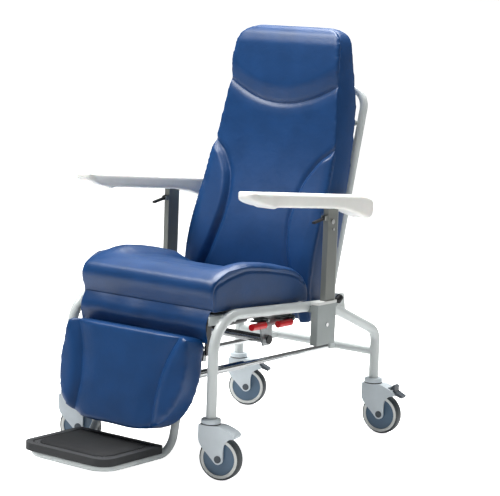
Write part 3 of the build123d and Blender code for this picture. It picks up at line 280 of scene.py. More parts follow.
def plated(name, hex_colour, rough, smear=0.05):
    """Plated or bare metal: bright, with faint wiping marks that change its gloss."""
    colour = linear(hex_colour)
    made, tree, shader, place = surface(name, {"Metallic": 1.0})
    stretch = add(tree, "ShaderNodeMapping", {"Scale": WIPE_STRETCH}, place)
    wipes = add(tree, "ShaderNodeTexNoise", {"Scale": 3.0, "Detail": 5.0}, {"Vector": (stretch, "Vector")})
    shade_between(tree, shader, (wipes, "Fac"), tinted(colour, 0.93), tinted(colour, 1.03))
    vary_roughness(tree, shader, (wipes, "Fac"), rough, rough + smear)
    return made


def anodised(name, hex_colour, half_width, middle_y):
    """Anodised aluminium extrusion: drawn lines run up it, and its two outer ribs are coloured about twice as light as
    the rest.
    """
    colour = linear(hex_colour)
    made, tree, shader, place = surface(name, {"Metallic": 0.4})
    stretch = add(tree, "ShaderNodeMapping", {"Scale": DRAWN_STRETCH}, place)
    lines = add(tree, "ShaderNodeTexNoise", {"Scale": 1.0, "Detail": 2.0}, {"Vector": (stretch, "Vector")})
    axes = add(tree, "ShaderNodeSeparateXYZ", links=place)
    off = add(tree, "ShaderNodeMath", {"operation": "SUBTRACT", 1: middle_y}, {0: (axes, "Y")})
    away = add(tree, "ShaderNodeMath", {"operation": "ABSOLUTE"}, {0: (off, "Value")})
    rib = add(
        tree, "ShaderNodeMapRange", {"From Min": half_width - 0.0045, "From Max": half_width - 0.0030},
        {"Value": (away, "Value")})
    mixed = add(
        tree, "ShaderNodeMix", {"data_type": "RGBA", 6: tinted(colour, 1.0), 7: tinted(colour, 2.1)},
        {0: (rib, "Result")})
    tree.links.new(mixed.outputs[2], shader.inputs["Base Color"])
    vary_roughness(tree, shader, (lines, "Fac"), 0.28, 0.46)
    raise_by(tree, shader, (lines, "Fac"), 0.0001, 0.3)
    return made


def moulded(name, hex_colour, rough=0.45, grain=900.0, depth=0.00012, settings=None):
    """Moulded plastic with a spark-eroded texture about a millimetre across, and a faint cloudiness."""
    colour = linear(hex_colour)
    made, tree, shader, place = surface(name, {"IOR": 1.46, **(settings or {})})
    speck = add(tree, "ShaderNodeTexNoise", {"Scale": grain, "Detail": 2.0}, place)
    cloud = add(tree, "ShaderNodeTexNoise", {"Scale": MOULD_CLOUD, "Detail": 3.0}, place)
    shade_between(tree, shader, (cloud, "Fac"), tinted(colour, 0.95), tinted(colour, 1.05))
    vary_roughness(tree, shader, (cloud, "Fac"), rough - 0.05, rough + 0.07)
    raise_by(tree, shader, (speck, "Fac"), depth, 0.5)
    return made


def foamed_skin(name, hex_colour):
    """Integral-skin polyurethane foam: a soft matt skin with a close leather grain and a little light inside it."""
    colour = linear(hex_colour)
    made, tree, shader, place = surface(
        name, {"IOR": 1.45, "Subsurface Weight": 0.08, "Subsurface Scale": 0.004, "Sheen Weight": 0.1})
    grain = add(tree, "ShaderNodeTexVoronoi", {"Scale": SKIN_GRAIN}, place)
    soil = add(tree, "ShaderNodeTexNoise", {"Scale": SKIN_SOIL, "Detail": 5.0, "Roughness": 0.6}, place)
    shade_between(tree, shader, (soil, "Fac"), tinted(colour, 0.95), tinted(colour, 1.03))
    vary_roughness(tree, shader, (soil, "Fac"), 0.44, 0.56)
    raise_by(tree, shader, (grain, "Distance"), 0.0002, 0.4)
    return made


def rubber(name, hex_colour, rough=0.6):
    """Moulded rubber: dull, with a dusty bloom that lies in patches and a fine matt pore."""
    colour = linear(hex_colour)
    made, tree, shader, place = surface(name, {"IOR": 1.52})
    bloom = add(tree, "ShaderNodeTexNoise", {"Scale": RUBBER_BLOOM, "Detail": 6.0, "Roughness": 0.65}, place)
    pores = add(tree, "ShaderNodeTexNoise", {"Scale": RUBBER_PORES, "Detail": 1.0}, place)
    shade_between(tree, shader, (bloom, "Fac"), tinted(colour, 0.85), tinted(colour, 1.35))
    vary_roughness(tree, shader, (bloom, "Fac"), rough - 0.08, rough + 0.12)
    raise_by(tree, shader, (pores, "Fac"), 0.0002, 0.5)
    return made


def make_finishes(colours):
    """Every finish of the chair by its slot name."""
    post_low, post_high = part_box("armrest_post_left")
    middle, half = (post_low.y + post_high.y) / 2, (post_high.y - post_low.y) / 2
    return {
        "upholstery": coated_cover("navy_coated_cover", colours.cover),
        "frame_paint": powder_coat("grey_powder_coat", colours.frame_paint),
        "receiver_paint": powder_coat("grey_receiver_coat", "#979f9e", 0.42, 0.5),
        "chrome": plated("bright_chrome", "#c9cbcc", 0.08),
        "foot_tube_chrome": powder_coat("silver_lacquered_tube", "#b9bfbf", 0.26, 0.2),
        "screw_steel": plated("bright_screw_heads", "#d3d4d3", 0.14),
        "zinc": plated("zinc_plated_steel", "#a2a5a6", 0.34, 0.12),
        "post_aluminium": anodised("anodised_aluminium_post", "#7c7f7b", half, middle),
        "cap_plastic": moulded("off_white_polypropylene", "#d9dbd8", 0.4),
        "black_plastic": moulded("black_nylon", "#17181a", 0.38),
        "armrest_foam": foamed_skin("armrest_foamed_skin", colours.arm_skin),
        # black ABS backing; the seat board carries it too, painted black as painted shade under the seat cushion
        "backing": moulded("black_abs_backing_and_painted_shade", "#1b1e23", 0.55, 500.0, 0.0003),
        # black powder coat; the legrest's arms carry it too, painted dark as painted shade beside the flap behind the
        # near front leg
        "dark_steel": powder_coat("black_powder_coat_and_painted_shade", "#1a1b1d", 0.4),
        "grip_red": moulded(
            "red_dipped_vinyl", colours.grip, 0.3, 300.0, 0.0001, {"Coat Weight": 0.3, "Coat Roughness": 0.15}),
        "mat_rubber": rubber("footmat_rubber", "#1b1d20"),
        "castor_housing": moulded("grey_castor_nylon", colours.castor, 0.3, 800.0, 0.0001),
        "castor_disc": moulded("blue_grey_wheel_centre", "#566f86", 0.34),
        "castor_tyre": rubber("grey_thermoplastic_tread", "#3e4346", 0.5),
        "pedal_plastic": moulded("dark_pedal_nylon", "#4a5158", 0.42),
    }


FINISHES = {}


def finish_of(slot):
    """The finish for a slot, made on first use."""
    if not FINISHES:
        FINISHES.update(make_finishes(bpy.context.scene.chair_colours))
    return FINISHES[slot]


# ================================================================ modelling helpers
def deselect():
    """Object mode with nothing selected."""
    if bpy.context.object and bpy.context.object.mode != "OBJECT":
        bpy.ops.object.mode_set(mode="OBJECT")
    bpy.ops.object.select_all(action="DESELECT")


def only(piece):
    """Selects one piece and makes it active."""
    deselect()
    piece.select_set(True)
    bpy.context.view_layer.objects.active = piece


def apply_modifiers(piece):
    """Applies every modifier of a piece in order."""
    only(piece)
    for name in [m.name for m in piece.modifiers]:
        bpy.ops.object.modifier_apply(modifier=name)


def settle(piece, name):
    """Names a piece and puts its place into its mesh."""
    only(piece)
    bpy.ops.object.transform_apply(location=True, rotation=True, scale=True)
    piece.name = name
    piece.data.name = name
    return piece


def place_piece(piece, body, slot, replaces=(), angle=35.0):
    """Gives a finished piece its finish, smooth shading and body, and hides the CAD nodes that it stands for."""
    only(piece)
    bpy.ops.object.shade_smooth_by_angle(angle=math.radians(angle))
    piece.data.materials.clear()
    piece.data.materials.append(finish_of(slot))
    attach(piece, body)
    if replaces:
        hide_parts(*replaces)


def points_of(piece):
    """The piece's vertices as an array."""
    co = np.zeros(len(piece.data.vertices) * 3)
    piece.data.vertices.foreach_get("co", co)
    return co.reshape(-1, 3)


def set_points(piece, co):
    """Moves the piece's vertices to the array's places."""
    piece.data.vertices.foreach_set("co", co.astype(np.float32).ravel())
    piece.data.update()


def normals_of(piece):
    """The piece's vertex normals as an array."""
    no = np.zeros(len(piece.data.vertices) * 3, np.float32)
    piece.data.vertex_normals.foreach_get("vector", no)
    return no.reshape(-1, 3).astype(float)


def smooth_line(points, count):
    """A Catmull-Rom line through the points, as count places."""
    pts = np.array(points, float)
    pts = np.vstack([2 * pts[0] - pts[1], pts, 2 * pts[-1] - pts[-2]])
    spans = len(pts) - 3
    line = []
    for t in np.linspace(0, spans - 1e-9, count):
        i, u = int(t), t - int(t)
        a, b, c, d = pts[i:i + 4]
        line.append(
            0.5 * (2 * b + (c - a) * u + (2 * a - 5 * b + 4 * c - d) * u * u + (3 * b - a - 3 * c + d) * u ** 3))
    return np.array(line)


def distance_to(co, line):
    """Distance from each place to the nearest point of a line, in the same plane."""
    near = np.full(len(co), 1e9)
    for p in line:
        near = np.minimum(near, ((co - p) ** 2).sum(1))
    return np.sqrt(near)


def ease(values, start, end):
    """0 before start, 1 after end, smooth between."""
    t = np.clip((values - start) / (end - start), 0, 1)
    return t * t * (3 - 2 * t)


def crease(distance, depth, half_width):
    """How deep a seam draws the cover in at a distance from it."""
    return depth * np.exp(-(distance / half_width) ** 2)


def remeshed_copy(node, name, voxel, inset=0.0):
    """A CAD pad's skin as an even mesh, drawn in by inset."""
    deselect()
    piece = bpy.data.objects.new(name, NODES[node].data.copy())
    bpy.context.scene.collection.objects.link(piece)
    only(piece)
    bpy.ops.object.mode_set(mode="EDIT")
    bpy.ops.mesh.select_all(action="SELECT")
    bpy.ops.mesh.remove_doubles(threshold=0.00002)
    bpy.ops.mesh.normals_make_consistent(inside=False)
    bpy.ops.object.mode_set(mode="OBJECT")
    even = piece.modifiers.new("even mesh", "REMESH")
    even.mode = "VOXEL"
    even.voxel_size = voxel
    apply_modifiers(piece)
    if inset:
        only(piece)
        bpy.ops.object.mode_set(mode="EDIT")
        bpy.ops.mesh.select_all(action="SELECT")
        bpy.ops.transform.shrink_fatten(value=-inset)
        bpy.ops.object.mode_set(mode="OBJECT")
    return piece


def weight_group(piece, name, weights):
    """A vertex group that holds each vertex's weight in steps of a quarter."""
    group = piece.vertex_groups.new(name=name)
    for level in (0.25, 0.5, 0.75, 1.0):
        chosen = np.nonzero((weights > level - 0.25) & (weights <= level))[0]
        group.add([int(i) for i in chosen], level, "REPLACE")
    return group.name


def relax(piece, rounds, where=None):
    """Evens out a piece's surface, all of it or as far as a weight for each vertex says."""
    even = piece.modifiers.new("relax", "SMOOTH")
    even.iterations = rounds
    even.factor = 0.5
    if where is not None:
        even.vertex_group = weight_group(piece, "relaxed", where)
    apply_modifiers(piece)
    piece.vertex_groups.clear()


CLOTH_FRAMES = 20


def stuffed(piece, held, cap, pressure):
    """Blows the cover up over its foam by cloth simulation. held is how firmly each vertex stays, from 0 to 1,
    and no vertex moves further than cap."""
    before = points_of(piece)
    pins = weight_group(piece, "sewn down", held)
    cloth = piece.modifiers.new("cover", "CLOTH")
    cloth.settings.quality = 4
    cloth.settings.mass = 0.4
    cloth.settings.tension_stiffness = 12.0
    cloth.settings.compression_stiffness = 8.0
    cloth.settings.bending_stiffness = 2.0
    cloth.settings.use_pressure = True
    cloth.settings.uniform_pressure_force = pressure
    cloth.settings.effector_weights.gravity = 0.0
    cloth.settings.vertex_group_mass = pins
    cloth.settings.pin_stiffness = 3.0
    cloth.collision_settings.use_collision = False
    cloth.collision_settings.use_self_collision = False
    cloth.point_cache.frame_start = 1
    cloth.point_cache.frame_end = CLOTH_FRAMES
    for number in range(1, CLOTH_FRAMES + 1):
        bpy.context.scene.frame_set(number)
    apply_modifiers(piece)
    bpy.context.scene.frame_set(1)
    piece.vertex_groups.clear()
    moved = points_of(piece) - before
    length = np.linalg.norm(moved, axis=1)
    limit = np.minimum(1.0, cap / np.maximum(length, 1e-9))
    set_points(piece, before + moved * limit[:, None])


def fit_to_box(piece, node):
    """Scales a piece along each axis until its box is the CAD pad's."""
    co = points_of(piece)
    low, high = (np.array(v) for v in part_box(node))
    mine_low, mine_high = co.min(axis=0), co.max(axis=0)
    share = (co - mine_low) / (mine_high - mine_low)
    set_points(piece, low + share * (high - low))


def finer(piece):
    """One more subdivision, applied."""
    more = piece.modifiers.new("finer", "SUBSURF")
    more.levels = more.render_levels = 1
    apply_modifiers(piece)


# ================================================================ backrest
def pillow_seam(x):
    """Height of the pillow's seam at a distance from the middle."""
    return PILLOW_SEAM_LOW + PILLOW_SEAM_RISE * (np.abs(x) / PILLOW_SEAM_EDGE) ** 2


def pillow_line(count):
    """The pillow's seam over the backrest's face, as count places."""
    across = np.linspace(-PILLOW_SEAM_EDGE, PILLOW_SEAM_EDGE, count)
    return np.column_stack([across, pillow_seam(across)])


def mirrored_face(co):
    """Places on a pad's face, (x, z), with the right half laid over the left."""
    return np.column_stack([np.abs(co[:, 0]), co[:, 2]])


class ChairBackrest(bpy.types.Operator):
    """Sews the backrest cushion: wings, lumbar panel, head pillow and the seams between them."""

    bl_idname = "chair.backrest"
    bl_label = "Backrest cushion"

    def execute(self, context):
        sizes = context.scene.chair_sizes
        piece = remeshed_copy("back_cushion", "back_cover", sizes.voxel, 0.003)
        relax(piece, 6)
        co, no = points_of(piece) / MM, normals_of(piece)
        front = ease(-no[:, 1], *PANEL_FACING)
        x, z = co[:, 0], co[:, 2]
        wing_line = smooth_line(WING_SEAM, 90)
        wing = distance_to(mirrored_face(co), wing_line)
        inner_x = np.interp(z, wing_line[::-1, 1], wing_line[::-1, 0])
        outside = (np.abs(x) > inner_x) & (z < WING_SEAM[0][1])
        pillow = distance_to(np.column_stack([x, z]), pillow_line(120))
        above = z > pillow_seam(x)
        lift = outside * ease(wing, 0, WING_ROLL) * WING_LIFT
        lift = lift * ease(WING_EDGE - np.abs(x), -10, 50) * ease(WING_TOP - z, 0, 60)
        lift += above * ease(pillow, 0, PILLOW_ROLL) * PILLOW_LIFT * ease(PILLOW_TOP - z, 0, 60)
        lift += (~above) * ease(pillow, 0, PANEL_ROLL) * PANEL_LIFT
        lumbar = np.exp(-((z - LUMBAR_HEIGHT) / LUMBAR_HALF_TALL) ** 2) * np.exp(-(x / LUMBAR_HALF_WIDE) ** 2)
        lift += lumbar * LUMBAR_LIFT * ~outside
        seams = np.minimum(wing, pillow)
        lift -= crease(seams, sizes.seam_depth / MM, 9)
        co += no * (lift * front)[:, None]
        set_points(piece, co * MM)
        held = np.clip(crease(seams, 1.0, STITCHED) * front + (no[:, 1] > 0.55), 0, 1)
        stuffed(piece, held, 0.022, sizes.pressure)
        finer(piece)
        co, no = points_of(piece) / MM, normals_of(piece)
        wing = distance_to(mirrored_face(co), smooth_line(WING_SEAM, 260))
        pillow = distance_to(np.column_stack([co[:, 0], co[:, 2]]), pillow_line(300))
        groove = crease(np.minimum(wing, pillow), *PANEL_GROOVE) * ease(-no[:, 1], *GROOVE_FACING)
        groove += crease(distance_to(np.abs(co), smooth_line(BACK_EDGE, 400)), *EDGE_GROOVE)
        set_points(piece, (co - no * groove[:, None]) * MM)
        place_piece(piece, "backrest", "upholstery", ["back_cushion"], 180)
        return {"FINISHED"}


# ================================================================ seat
class ChairSeat(bpy.types.Operator):
    """Sews the seat cushion: rolled front, raised sides, dished middle and its side seams."""

    bl_idname = "chair.seat"
    bl_label = "Seat cushion"

    def execute(self, context):
        sizes = context.scene.chair_sizes
        piece = remeshed_copy("seat_cushion", "seat_cover", sizes.voxel, 0.002)
        relax(piece, 4)
        bottom = (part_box("seat_cushion")[0] / MM).z
        co, no = points_of(piece) / MM, normals_of(piece)
        x, y, z = co.T
        crest = np.interp(y, *zip(*SEAT_CREST))
        rim = crest - RIM_FALL * ease(np.abs(x), *RIM_FADE)
        dish = DISH_DEPTH * (1 - ease(np.abs(x), *DISH_SIDE_FADE)) * ease(y, *DISH_FRONT_FADE)
        top = ease(no[:, 2], 0.12, 0.6) * ease(z, bottom + 55, bottom + 75)
        co[:, 2] += top * (rim - dish - z)
        set_points(piece, co * MM)
        relax(piece, 8)
        relax(piece, 16, ease(-y, 315, 372) * ease(z, 505, 535))
        co, no = points_of(piece) / MM, normals_of(piece)
        corner = crease(np.abs(co[:, 0]) - SEAT_CORNER, 1.0, SEAT_CORNER_WIDE)
        held = np.clip((no[:, 2] < -0.55) * 1.0 + (no[:, 1] > 0.7) * 1.0 + corner * 0.8, 0, 1)
        stuffed(piece, held, 0.008, sizes.pressure)
        finer(piece)
        fit_to_box(piece, "seat_cushion")
        co, no = points_of(piece) / MM, normals_of(piece)
        x, y, z = co.T
        side = smooth_line([(along, up - SEAT_SEAM_DROP) for along, up in SEAT_CREST[3:-2]], 300)
        seam = np.vstack([smooth_line((*SEAT_SEAM_START, tuple(side[0])), 80), side])
        groove = crease(distance_to(co[:, 1:], seam), *SEAT_GROOVE) * ease(np.abs(no[:, 0]), 0.3, 0.7)
        co -= no * groove[:, None]
        # the front leans in below its crest, and the lower edge follows the falling rail
        co[:, 1] += SEAT_UNDERCUT * ease(535 - z, 0, 66) * ease(-y, 345, 385)
        fall = SEAT_EDGE_FALL * ease(y, -300, 40) * ease(np.abs(x), 230, 240)
        co[:, 2] -= fall * (1 - ease(z, bottom, bottom + 40))
        set_points(piece, co * MM)
        place_piece(piece, "base", "upholstery", ["seat_cushion"], 180)
        return {"FINISHED"}


# ================================================================ calf pad
class ChairCalfPad(bpy.types.Operator):
    """Sews the calf cushion: broad middle, two side rolls and the channels between them."""

    bl_idname = "chair.calf_pad"
    bl_label = "Calf cushion"

    def execute(self, context):
        sizes = context.scene.chair_sizes
        piece = remeshed_copy("calf_cushion", "calf_cover", sizes.voxel, 0.002)
        relax(piece, 6)
        co, no = points_of(piece) / MM, normals_of(piece)
        front = ease(-no[:, 1], *PANEL_FACING)
        line = smooth_line(CALF_SEAM, 70)
        seam = distance_to(mirrored_face(co), line)
        past = np.abs(co[:, 0]) - np.interp(co[:, 2], line[::-1, 1], line[::-1, 0])
        outside = past > 0
        lift = outside * (ease(seam, 0, 26) * CALF_ROLL - ease(past, 30, 95) * CALF_ROLL)
        lift = lift + (~outside) * ease(seam, 0, 60) * CALF_MIDDLE
        lift -= crease(seam, sizes.seam_depth / MM, 10)
        co += no * (lift * front)[:, None]
        low, high = (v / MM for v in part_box("calf_cushion"))
        depth = (co[:, 1] - low.y) - (co[:, 2] - low.z) * CALF_LEAN
        co[:, 0] *= 1 - 0.01 * (1 - ease(depth, 0, 50))
        set_points(piece, co * MM)
        relax(piece, 8)
        held = np.clip(crease(seam, 1.0, STITCHED) * front + (no[:, 1] > 0.55), 0, 1)
        stuffed(piece, held, 0.010, sizes.pressure)
        relax(piece, 3)
        finer(piece)
        fit_to_box(piece, "calf_cushion")
        co = points_of(piece) / MM
        depth = (co[:, 1] - low.y) - (co[:, 2] - low.z) * CALF_LEAN
        co[:, 1] -= CALF_FORWARD * (1 - ease(depth, 8, 52))
        co[:, 2] += CALF_DRAWN_UP * ease(high.z - co[:, 2], 60, high.z - low.z)
        set_points(piece, co * MM)
        co, no = points_of(piece) / MM, normals_of(piece)
        seam = distance_to(mirrored_face(co), smooth_line(CALF_SEAM, 200))
        co -= no * (crease(seam, *CALF_GROOVE) * ease(-no[:, 1], *GROOVE_FACING))[:, None]
        set_points(piece, co * MM)
        place_piece(piece, "legrest", "upholstery", ["calf_cushion"], 180)
        return {"FINISHED"}


class ChairFlap(bpy.types.Operator):
    """Hangs the flap of cover cloth that closes the gap between the seat's front and the calf pad."""

    bl_idname = "chair.flap"
    bl_label = "Flap below the seat"

    def execute(self, context):
        sizes = context.scene.chair_sizes
        width = 2 * FLAP_HALF * MM
        deselect()
        bpy.ops.mesh.primitive_grid_add(x_subdivisions=150, y_subdivisions=30, size=1, rotation=(math.pi / 2, 0, 0))
        piece = settle(bpy.context.object, "flap_sheet")
        co = points_of(piece)
        line = smooth_line(FLAP_LINE, 200)
        run = np.concatenate([[0], np.cumsum(np.linalg.norm(np.diff(line, axis=0), axis=1))])
        down = 0.5 - co[:, 2]
        u = co[:, 0] * 2 * math.pi
        folds = np.sin(u * 1.3 + 0.6 - down) + 0.6 * np.sin(u * 2.9 - 1.1 + 2 * down)
        folds += 0.25 * np.sin(u * 4.7 + 2.0 - 3 * down)
        co[:, 0] *= width
        co[:, 1] = np.interp(down, run / run[-1], line[:, 0]) * MM + sizes.flap_fold * folds * down * (1 - down) * 4
        co[:, 2] = np.interp(down, run / run[-1], line[:, 1]) * MM
        set_points(piece, co)
        cloth = piece.modifiers.new("cloth thickness", "SOLIDIFY")
        cloth.thickness = CLOTH_THICKNESS
        cloth.offset = 0.0
        apply_modifiers(piece)
        only(piece)
        bpy.ops.object.shade_smooth_by_angle(angle=math.radians(40))
        piece.data.materials.append(finish_of("upholstery"))
        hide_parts("seat_flap")
        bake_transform(piece)
        return {"FINISHED"}


# ================================================================ armrests
class ChairArmrests(bpy.types.Operator):
    """Moulds the two armrest pads with soft rounded edges."""

    bl_idname = "chair.armrests"
    bl_label = "Armrest pads"

    def execute(self, context):
        for side in SIDES:
            piece = remeshed_copy(f"armrest_pad_{side}", f"armrest_skin_{side}", 0.0035)
            relax(piece, 10)
            finer(piece)
            place_piece(piece, f"armrest_{side}", "armrest_foam", [f"armrest_pad_{side}"], 180)
        return {"FINISHED"}


# ================================================================ footmat
class ChairFootmat(bpy.types.Operator):
    """Ribs and studs moulded on the footmat."""

    bl_idname = "chair.footmat"
    bl_label = "Footmat ribs"

    def execute(self, context):
        sizes = context.scene.chair_sizes
        low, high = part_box("foot_mat")
        top = MOUNTS["footplate_top"][2]
        first, last = low.y + MAT_BORDER + 0.012, high.y - MAT_BORDER - 0.006
        length = high.x - low.x - 2 * MAT_BORDER - 0.016
        deselect()
        bpy.ops.mesh.primitive_cube_add(size=1, location=(0, first, top), scale=(length, RIB_WIDTH, RIB_HEIGHT))
        rib = settle(bpy.context.object, "footmat_ribs")
        edge = rib.modifiers.new("rounded", "BEVEL")
        edge.width = RIB_ROUND
        edge.segments = 2
        ribs = rib.modifiers.new("ribs", "ARRAY")
        ribs.use_relative_offset = False
        ribs.use_constant_offset = True
        ribs.constant_offset_displace = (0, sizes.rib_pitch, 0)
        ribs.count = int((last - first) / sizes.rib_pitch)
        apply_modifiers(rib)
        co = points_of(rib)
        for row in (first, last):
            near = np.clip(MAT_CORNER - np.abs(co[:, 1] - row), 0, MAT_CORNER)
            pull = MAT_CORNER - np.sqrt(np.maximum(MAT_CORNER ** 2 - near ** 2, 0))
            co[:, 0] -= np.sign(co[:, 0]) * pull * 0.8
        set_points(rib, co)
        place_piece(rib, "footrest", "mat_rubber")
        side_x, front_y, rear_y = high.x - MAT_BORDER - 0.001, low.y + MAT_BORDER + 0.001, high.y - MAT_BORDER - 0.002
        loop = [(side_x, rear_y), (side_x, front_y + STUD_CORNER)]
        for step in range(1, 8):
            a = step / 8 * math.pi / 2
            loop.append((side_x - STUD_CORNER * (1 - math.cos(a)), front_y + STUD_CORNER * (1 - math.sin(a))))
        loop.append((side_x - STUD_CORNER, front_y))
        loop = np.array(loop + [(-x, y) for x, y in loop[::-1]] + [(side_x, rear_y)])
        run = np.concatenate([[0], np.cumsum(np.linalg.norm(np.diff(loop, axis=0), axis=1))])
        studs = int(run[-1] / STUD_PITCH)
        deselect()
        bpy.ops.mesh.primitive_uv_sphere_add(
            segments=8, ring_count=6, radius=STUD_RADIUS, location=(0, 0, top + 0.0004))
        stud = settle(bpy.context.object, "footmat_studs")
        bm = bmesh.new()
        for number in range(studs):
            at = run[-1] * number / studs
            shift = Vector((np.interp(at, run, loop[:, 0]), np.interp(at, run, loop[:, 1]), 0))
            start = len(bm.verts)
            bm.from_mesh(stud.data)
            bmesh.ops.translate(bm, vec=shift, verts=list(bm.verts)[start:])
        bm.to_mesh(stud.data)
        bm.free()
        place_piece(stud, "footrest", "mat_rubber", angle=60)
        return {"FINISHED"}


# ================================================================ castors
def joint_named(name):
    """A joint of the record."""
    return next(j for j in RECORD["behaviour"]["joints"] if j["name"] == name)


def wheel_matrix(corner):
    """Turns a wheel modelled about the X-Z plane at the origin to its place on the chair."""
    joint = joint_named(f"wheel_spin_{corner}")
    axle = Vector(joint["axis"]).normalized()
    forward = axle.cross(Vector((0, 0, 1)))
    turn = Matrix((forward, axle, Vector((0, 0, 1)))).transposed().to_4x4()
    return Matrix.Translation(joint["pos_m"]) @ turn


def into_place(piece, matrix, name, body, slot):
    """Moves a piece modelled at the origin to its place and finishes it."""
    piece.data.transform(matrix)
    piece.name = piece.data.name = name
    place_piece(piece, body, slot)


class ChairCastors(bpy.types.Operator):
    """Adds the castors' light wheel rings, axle caps and swivel races."""

    bl_idname = "chair.castors"
    bl_label = "Castor details"

    def execute(self, context):
        for corner in CORNERS:
            matrix = wheel_matrix(corner)
            for number, sign in enumerate((1, -1)):
                deselect()
                bpy.ops.mesh.primitive_torus_add(
                    major_radius=RING_RADIUS, minor_radius=RING_THICK, major_segments=72, minor_segments=12,
                    location=(0, sign * RING_OUT, 0), rotation=(math.pi / 2, 0, 0))
                bpy.context.object.scale = (1, 1, RING_FLAT)
                ring = settle(bpy.context.object, "wheel_ring")
                into_place(ring, matrix, f"wheel_ring_{corner}_{number}", f"wheel_{corner}", "cap_plastic")
                deselect()
                bpy.ops.mesh.primitive_cylinder_add(
                    vertices=40, radius=CAP_RADIUS, depth=CAP_DEPTH, location=(0, sign * CAP_OUT, 0),
                    rotation=(math.pi / 2, 0, 0))
                cap = settle(bpy.context.object, "axle_cap")
                rim = cap.modifiers.new("rim", "BEVEL")
                rim.width = CAP_ROUND
                rim.segments = 2
                apply_modifiers(cap)
                into_place(cap, matrix, f"axle_cap_{corner}_{number}", f"castor_{corner}", "pedal_plastic")
            stem = Vector(joint_named(f"castor_swivel_{corner}")["pos_m"])
            fork_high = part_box(f"castor_fork_{corner}")[1]
            deselect()
            bpy.ops.mesh.primitive_torus_add(
                major_radius=RACE_RADIUS, minor_radius=RACE_THICK, major_segments=64, minor_segments=12,
                location=(stem.x, stem.y, fork_high.z - RACE_DROP))
            race = settle(bpy.context.object, "race")
            into_place(race, Matrix.Identity(4), f"swivel_race_{corner}", f"castor_{corner}", "black_plastic")
        return {"FINISHED"}


# ================================================================ finishes of the CAD parts
class ChairFinishes(bpy.types.Operator):
    """Gives every part that is carried over its finish."""

    bl_idname = "chair.finishes"
    bl_label = "Finishes"

    def execute(self, context):
        slots = {row["node"]: row["material_slot"] for row in RECORD["subparts"]}
        for name, node in NODES.items():
            node.data.materials.clear()
            node.data.materials.append(finish_of(slots[name]))
        return {"FINISHED"}


# ================================================================ stage
CAMERA_PLACE = Vector((3.4850, -4.4474, 1.3795))
CAMERA_AZIMUTH = math.radians(37.5)
CAMERA_ELEVATION = math.radians(8.0)
CAMERA_ROLL = math.radians(2.1)
CAMERA_LENS = 136.81
CAMERA_SENSOR = 36.0
# how bright the floor and the sky are to the chair and to the camera
FLOOR_GLOW = (0.05, 1.0)
SKY_LIGHT = (0.18, 1.0)
# name, place, target, size and power of each soft light
LIGHTS = (
    ("key", (-1.6, -1.5, 4.2), (0, 0, 0.6), 1.8, 185),
    ("top", (-0.4, 1.2, 4.0), (0, 0, 0.5), 2.6, 290),
    ("fill", (3.6, -2.4, 1.6), (0, 0, 0.6), 2.6, 3),
)


def add_light(name, place, target, size, power):
    """A square soft light that faces a point."""
    light = bpy.data.lights.new(name, "AREA")
    light.size = size
    light.energy = power
    made = bpy.data.objects.new(name, light)
    bpy.context.scene.collection.objects.link(made)
    made.location = place
    made.rotation_euler = (Vector(target) - Vector(place)).to_track_quat("-Z", "Y").to_euler()


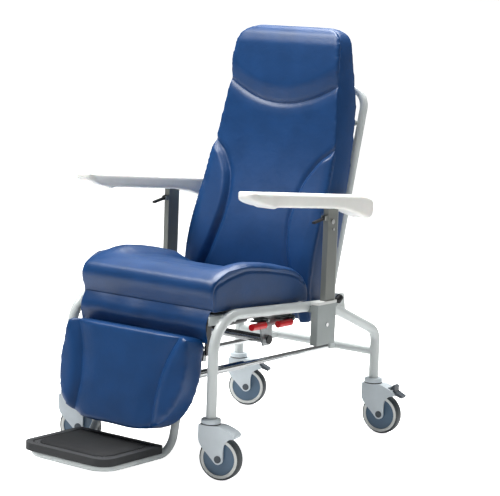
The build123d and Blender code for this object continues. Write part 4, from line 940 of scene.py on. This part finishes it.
class ChairStage(bpy.types.Operator):
    """Sets the pale floor, the soft studio lights and the camera."""

    bl_idname = "chair.stage"
    bl_label = "Stage"

    def execute(self, context):
        deselect()
        bpy.ops.mesh.primitive_plane_add(size=400, location=(0, 0, -0.0005))
        floor = settle(bpy.context.object, "studio_floor")
        made, tree, shader, place = surface("pale_studio_floor", {"Roughness": 0.8, "Emission Color": (1, 1, 1, 1)})
        grain = add(tree, "ShaderNodeTexNoise", {"Scale": FLOOR_CLOUD, "Detail": 2.0}, place)
        shade_between(tree, shader, (grain, "Fac"), linear("#ebecec"), linear("#f0f0f0"))
        seen = add(tree, "ShaderNodeLightPath")
        glow = add(
            tree, "ShaderNodeMapRange", {"To Min": FLOOR_GLOW[0], "To Max": FLOOR_GLOW[1]},
            {"Value": (seen, "Is Camera Ray")})
        tree.links.new(glow.outputs["Result"], shader.inputs["Emission Strength"])
        floor.data.materials.append(made)
        world = bpy.data.worlds.new("studio")
        world.use_nodes = True
        tree = world.node_tree
        sky = tree.nodes["Background"]
        sky.inputs["Color"].default_value = (1.0, 1.0, 1.0, 1.0)
        ray = add(tree, "ShaderNodeLightPath")
        span = add(
            tree, "ShaderNodeMapRange", {"To Min": SKY_LIGHT[0], "To Max": SKY_LIGHT[1]},
            {"Value": (ray, "Is Camera Ray")})
        tree.links.new(span.outputs["Result"], sky.inputs["Strength"])
        context.scene.world = world
        for light in LIGHTS:
            add_light(*light)
        context.scene.view_settings.view_transform = "Standard"
        camera = bpy.data.cameras.new("camera")
        camera.lens = CAMERA_LENS
        camera.sensor_width = CAMERA_SENSOR
        camera.clip_end = 200
        made = bpy.data.objects.new("camera", camera)
        context.scene.collection.objects.link(made)
        a, e, r = CAMERA_AZIMUTH, CAMERA_ELEVATION, CAMERA_ROLL
        back = Vector((math.sin(a) * math.cos(e), -math.cos(a) * math.cos(e), math.sin(e)))
        right = (-back).cross(Vector((0, 0, 1))).normalized()
        up = right.cross(-back)
        across = math.cos(r) * right + math.sin(r) * up
        above = -math.sin(r) * right + math.cos(r) * up
        turn = Matrix((across, above, back)).transposed().to_4x4()
        made.matrix_world = Matrix.Translation(CAMERA_PLACE) @ turn
        context.scene.camera = made
        return {"FINISHED"}


class ChairPanel(bpy.types.Panel):
    """Lists the chair's pieces and settings."""

    bl_idname = "VIEW3D_PT_chair"
    bl_label = "Patient recliner"
    bl_space_type = "VIEW_3D"
    bl_region_type = "UI"
    bl_category = "Recliner"

    def draw(self, context):
        for settings in (context.scene.chair_sizes, context.scene.chair_colours):
            for name in settings.__annotations__:
                self.layout.prop(settings, name)
        for operator in OPERATORS:
            self.layout.operator(operator.bl_idname)


OPERATORS = (
    ChairFinishes, ChairBackrest, ChairSeat, ChairCalfPad, ChairFlap, ChairArmrests, ChairFootmat, ChairCastors,
    ChairStage,
)
CLASSES = (ChairSizes, ChairColours, *OPERATORS, ChairPanel)


def register():
    """Registers the settings, the operators and the panel."""
    for c in CLASSES:
        bpy.utils.register_class(c)
    bpy.types.Scene.chair_sizes = bpy.props.PointerProperty(type=ChairSizes)
    bpy.types.Scene.chair_colours = bpy.props.PointerProperty(type=ChairColours)


def unregister():
    """Takes them away again."""
    del bpy.types.Scene.chair_colours
    del bpy.types.Scene.chair_sizes
    for c in reversed(CLASSES):
        bpy.utils.unregister_class(c)


def main():
    """Builds everything that the CAD frame still lacks."""
    register()
    for operator in OPERATORS:
        group, action = operator.bl_idname.split(".")
        getattr(getattr(bpy.ops, group), action)()


if __name__ == "__main__":
    main()
